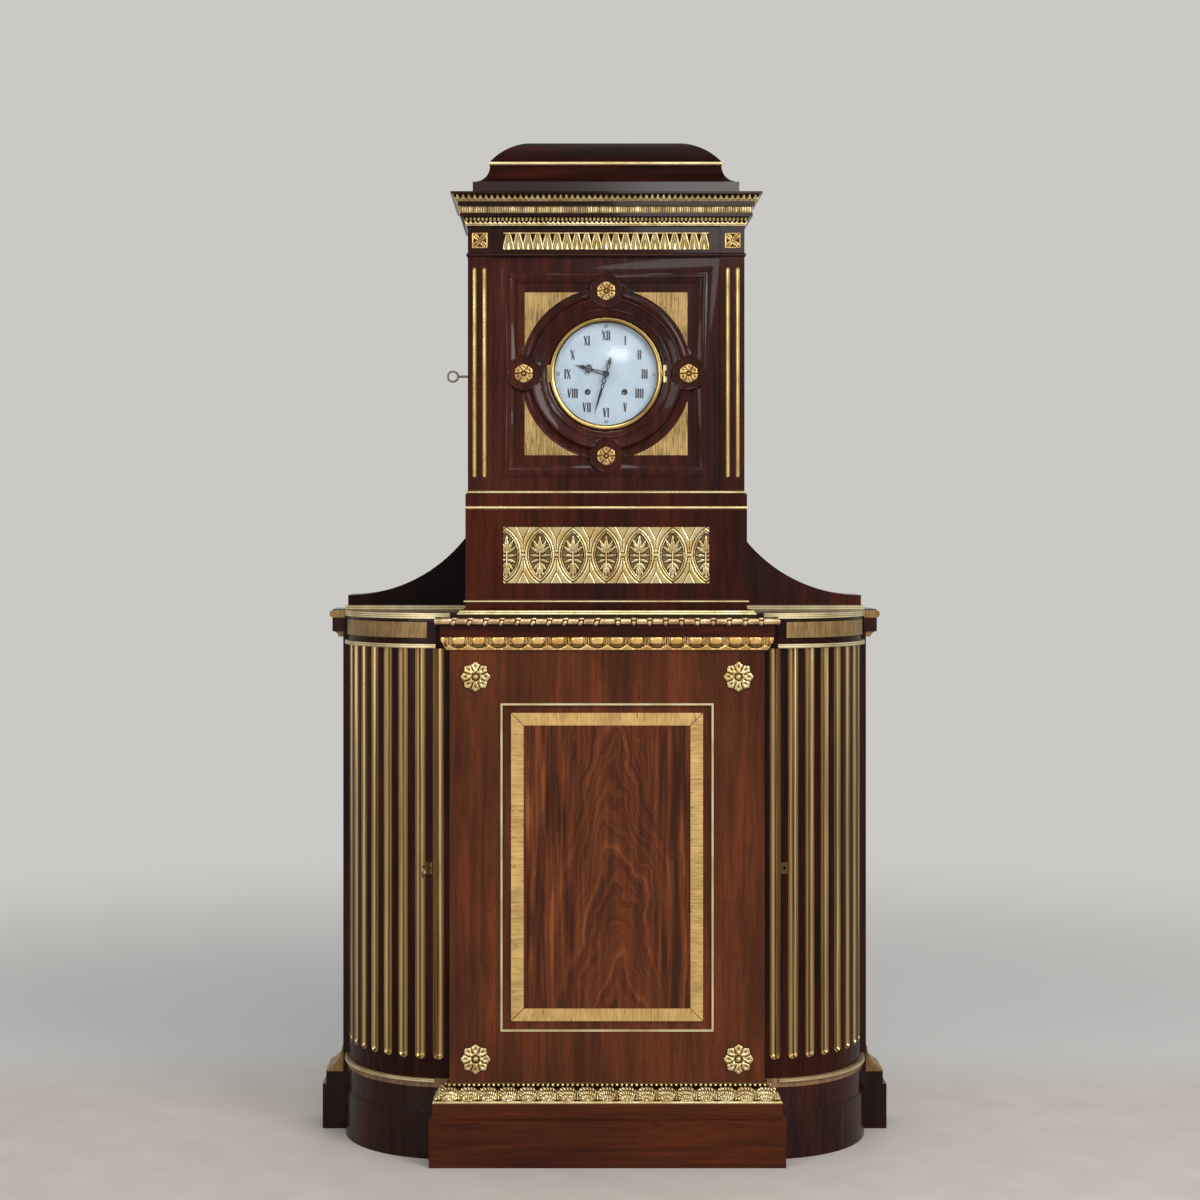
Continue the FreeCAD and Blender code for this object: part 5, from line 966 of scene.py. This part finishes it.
bm = bmesh.new()
for count, turn in (("60", 0), ("15", 90), ("30", 180), ("45", 270)):
    words = bpy.data.curves.new("minutes", "FONT")
    words.body, words.align_x, words.align_y = count, "CENTER", "CENTER"
    words.size, words.extrude, words.offset = 9.0, 0.06, 0.12
    held = bpy.data.objects.new("minutes", words)
    shape = bpy.data.meshes.new_from_object(held)
    spot = Vector((MINUTES_RADIUS * sin(radians(turn)), DIAL_FACE - 0.06,
                   DIAL_Z + MINUTES_RADIUS * cos(radians(turn))))
    outward = Matrix.Rotation(radians({90: -90, 270: 90}.get(turn, 0)), 4, "Z")
    shape.transform(Matrix.Translation(spot) @ Matrix.Rotation(radians(90), 4, "X") @ outward)
    bm.from_mesh(shape)
    bpy.data.meshes.remove(shape)
    bpy.data.objects.remove(held)
finished(bm, "dial_minutes", "case", dial_black, merge=0.0005)


def spun(bm, points, segments=96):
    """Turns an open section of (radius, depth) points round the axis of the dial."""
    rim = [bm.verts.new((radius, depth(d), DIAL_Z)) for radius, d in points]
    edges = [bm.edges.new(pair) for pair in zip(rim, rim[1:])]
    bmesh.ops.spin(bm, geom=rim + edges, cent=(0, 0, DIAL_Z), axis=(0, 1, 0), angle=2 * pi,
                   steps=segments, use_merge=True)


# Black rings in the winding holes: painted shade standing for the dark inside the holes
bm = bmesh.new()
for side in (-1, 1):
    spun(bm, [(6.3, 146.3), (6.3, 147.6), (3.8, 147.6), (3.8, 146.3), (6.3, 146.3)], 32)
    fresh = [v for v in bm.verts if not v.tag]
    bmesh.ops.translate(bm, verts=fresh, vec=(side * WINDING_X, 0, -WINDING_DROP))
    for vert in fresh:
        vert.tag = True
finished(bm, "winding_hole_shade_rings", "case", dial_black)

# Domed crown glass, free of its own shadow as thin glass is
ROUND = (108.3 ** 2 + 11 ** 2) / 22
CROWN = [(r, 134.9 + ROUND - 11 - sqrt(ROUND ** 2 - r ** 2)) for r in steps(0.0, 108.3, 18)]
bm = bmesh.new()
spun(bm, CROWN + [(110.6, 134.9), (110.6, 136.9)] + [(r, d + 2.0) for r, d in reversed(CROWN)])
glass = finished(bm, "domed_glass", "bezel", crown_glass, ["bezel_glass"], 40)
glass.visible_shadow = False


# Hands of pierced and blued steel

def oval(bm, x, z, across, along, point=0.0, sides=28):
    """A flat oval in a hand's own plane, drawn out to points at its ends by point."""
    made = bmesh.ops.create_circle(bm, cap_ends=True, segments=sides, radius=1)["verts"]
    for vert in made:
        pinch = 1 - point * abs(vert.co.y) ** 1.5
        vert.co = (x + vert.co.x * across * pinch, z + vert.co.y * along, 0)


def ring(bm, x, z, outer, inner, sides=28):
    """A flat ring or pierced oval; outer and inner are (across, along)."""
    edges = []
    for across, along in (outer, inner):
        made = bmesh.ops.create_circle(bm, cap_ends=False, segments=sides, radius=1)["verts"]
        for vert in made:
            vert.co = (x + vert.co.x * across, z + vert.co.y * along, 0)
        edges += list({e for v in made for e in v.link_edges})
    bmesh.ops.bridge_loops(bm, edges=edges)


def bar(bm, x0, z0, x1, z1, low, high):
    """A flat tapering bar from one place to another, low wide at its start and high at its end."""
    length = hypot(x1 - x0, z1 - z0)
    made = bmesh.ops.create_grid(bm, x_segments=1, y_segments=1, size=0.5)["verts"]
    for vert in made:
        t = vert.co.y + 0.5
        across = vert.co.x * (low + (high - low) * t)
        vert.co = (x0 + (x1 - x0) * t + across * (z1 - z0) / length,
                   z0 + (z1 - z0) * t - across * (x1 - x0) / length, 0)


def set_hand(bm, name, node, angle, front, arbor, rear):
    """Thickens a flat hand, turns it to its hour and sets it on its arbor."""
    bmesh.ops.recalc_face_normals(bm, faces=bm.faces)
    bmesh.ops.solidify(bm, geom=bm.faces[:], thickness=1.3)
    low = min(v.co.z for v in bm.verts)
    for vert in bm.verts:
        vert.co.z -= low
    bmesh.ops.transform(bm, verts=bm.verts, matrix=Matrix.Translation((0, depth(front), DIAL_Z))
                        @ Matrix.Rotation(radians(angle), 4, "Y") @ Matrix.Rotation(radians(90), 4, "X")
                        @ Matrix.Translation((0, 0, -1.3)))
    middle = Matrix.Translation((0, depth((front + rear) / 2), DIAL_Z))
    bmesh.ops.create_cone(bm, cap_ends=True, segments=24, radius1=arbor, radius2=arbor,
                          depth=rear - front, matrix=middle @ Matrix.Rotation(radians(90), 4, "X"))
    finished(bm, name, node, blued_steel, [node], merge=0)


bm = bmesh.new()
oval(bm, 0, 0, 7, 7)
for side in (-1, 1):
    bar(bm, side * 3.4, 4, side * 1.6, 31, 2.0, 1.8)
    bar(bm, side * 5.5, 38, side * 12, 44, 2.6, 0.4)
    bar(bm, side * 5.5, 40, side * 12, 33, 2.6, 0.4)
    oval(bm, side * 2.8, 52, 1.5, 4.2, 0.6, 14)
bar(bm, 0, 28, 0, 33, 4.6, 3.0)
ring(bm, 0, 39, (8, 8), (5, 5))
bar(bm, 0, 33, 0, 46, 1.0, 1.0)
bar(bm, -6, 39, 6, 39, 1.0, 1.0)
ring(bm, 0, 39, (2.6, 2.6), (1.2, 1.2), 16)
oval(bm, 0, 51, 3.4, 5, 0.4)
bar(bm, 0, 54, 0, 68, 4.2, 0.5)
set_hand(bm, "hour_hand_pierced", "hour_hand", 286.4, 141.4, 4.0, 180)

bm = bmesh.new()
oval(bm, 0, 0, 5.6, 5.6)
ring(bm, 0, 15, (4.6, 8.5), (2.0, 5.0))
ring(bm, 0, 28, (3.6, 6.0), (1.4, 3.4))
bar(bm, 0, 33, 0, 44, 5.2, 6.0)
bar(bm, 0, 44, 0, 89, 6.0, 0.6)
bar(bm, 0, -4, 0, -12, 3.0, 2.4)
ring(bm, 0, -17, (4.4, 6.0), (2.0, 3.2))
oval(bm, 0, -29, 3.6, 9.0, 0.6)
for side in (-1, 1):
    oval(bm, side * 3.2, -25, 1.8, 3.6, 0.5, 14)
set_hand(bm, "minute_hand_pierced", "minute_hand", 196.2, 137.6, 2.0, 250)


# Gut lines: from the barrel down round the weight's pulley and up to the seat board

def line(side, hand):
    """One line as a tube, hung round its weight's pulley at rest, with its ends on the movement."""
    x, y, pulley = side * 42, 6, 450
    path = [(x + side * 20, y, 1601)]
    path += [(x + side * 20 * cos(turn), y, pulley - 20 * sin(turn)) for turn in steps(0, pi, 20)]
    path += [(x - side * 20, y, 1560)]
    curve = bpy.data.curves.new("gut", "CURVE")
    curve.dimensions, curve.bevel_depth, curve.bevel_resolution = "3D", 0.9 * MM, 2
    curve.use_fill_caps = True
    spline = curve.splines.new("POLY")
    spline.points.add(len(path) - 1)
    for point, spot in zip(spline.points, path):
        point.co = (*(c * MM for c in spot), 1)
    held = bpy.data.objects.new("gut", curve)
    mesh = bpy.data.meshes.new_from_object(held)
    bpy.data.objects.remove(held)
    mesh.materials.clear()
    mesh.materials.append(gut)
    mesh.shade_smooth()
    piece = placed(f"gut_line_{hand}", mesh)
    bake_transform(piece)
    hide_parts(f"line_{hand}")


for side, hand in SIDES:
    line(side, hand)


# Floor, light and camera

def lamp(name, place, aim, size, power, shape="RECTANGLE"):
    light = bpy.data.lights.new(name, "AREA")
    light.shape = shape
    light.size, light.size_y = size
    light.energy = power
    made = placed(name, light)
    made.location = place
    made.rotation_euler = (Vector(aim) - Vector(place)).to_track_quat("-Z", "Y").to_euler()


lamp("window_light", (2.7, -3.3, 2.9), (0, 0, 1.1), (1.8, 2.2), 120)
lamp("room_light", (-2.6, -3.4, 1.9), (0, 0, 1.0), (2.0, 2.4), 50)
lamp("ceiling_light", (0.2, -2.4, 4.0), (0, 0, 1.2), (1.6, 0.8), 26)
lamp("far_window", (0.56, -4.3, 2.68), (0, 0, 1.64), (0.9, 0.5), 6, "ELLIPSE")

WALL, FLOOR = "#CBC9C5", "#C4BBB1"
world = bpy.data.worlds.new("room")
scene.world = world
world.use_nodes = True
tree = world.node_tree
rays = add(tree, "LightPath").outputs
seen = add(tree, "Math", {0: rays["Is Camera Ray"], 1: rays["Is Glossy Ray"]}, operation="MAXIMUM")
seen = add(tree, "Math", {0: seen, 1: rays["Is Transmission Ray"]}, operation="MAXIMUM")
lit = add(tree, "Background", {"Color": "#F2F4F8", "Strength": 0.62})
shown = add(tree, "Background", {"Color": WALL, "Strength": 1.0})
both = add(tree, "MixShader", {0: seen, 1: lit, 2: shown})
fill(tree, tree.nodes["World Output"].inputs, {"Surface": both})

bm = bmesh.new()
bmesh.ops.create_circle(bm, cap_ends=True, segments=96, radius=6.0)
mesh = bpy.data.meshes.new("floor")
bm.to_mesh(mesh)
bm.free()
placed("floor", mesh)


def studio_floor(tree):
    """Stone with a faint speckle, which turns into the wall's colour behind the clock."""
    y = add(tree, "SeparateXYZ", {"Vector": object_point(tree)}).outputs["Y"]
    back = add(tree, "MapRange", {"Value": y, "From Min": 0.3, "From Max": 0.9},
               interpolation_type="SMOOTHSTEP")
    cloud = add(tree, "TexNoise", {"Scale": 9, "Detail": 3.0})
    stone = add(tree, "ValToRGB", {"Fac": cloud}, stops=[(0.3, "#BDB4AA"), (0.7, FLOOR)])
    mixed = add(tree, "Mix", {0: back, 6: stone, 7: WALL}, data_type="RGBA")
    return {"Base Color": mixed.outputs[2]}


floor_finish = material("pale_studio_floor", studio_floor, Roughness=0.7)
tree = floor_finish.node_tree
reach = add(tree, "VectorMath", {0: object_point(tree)}, operation="LENGTH").outputs["Value"]
far = add(tree, "MapRange", {"Value": reach, "From Min": 1.6, "From Max": 4.5},
          interpolation_type="SMOOTHSTEP")
glow = add(tree, "Emission", {"Color": WALL, "Strength": 1.0})
mixed = add(tree, "MixShader", {0: far, 1: tree.nodes["Principled BSDF"], 2: glow})
fill(tree, tree.nodes["Material Output"].inputs, {"Surface": mixed})
mesh.materials.append(floor_finish)

eye = bpy.data.cameras.new("camera")
eye.lens = 65.85
eye.sensor_width = 36
eye.shift_x, eye.shift_y = 0.0317, -0.054
camera = placed("camera", eye)
camera.location = (-0.0933, -4.710, 1.298)
camera.rotation_euler = (radians(90), 0, 0)
scene.camera = camera
scene.view_settings.view_transform = "Standard"
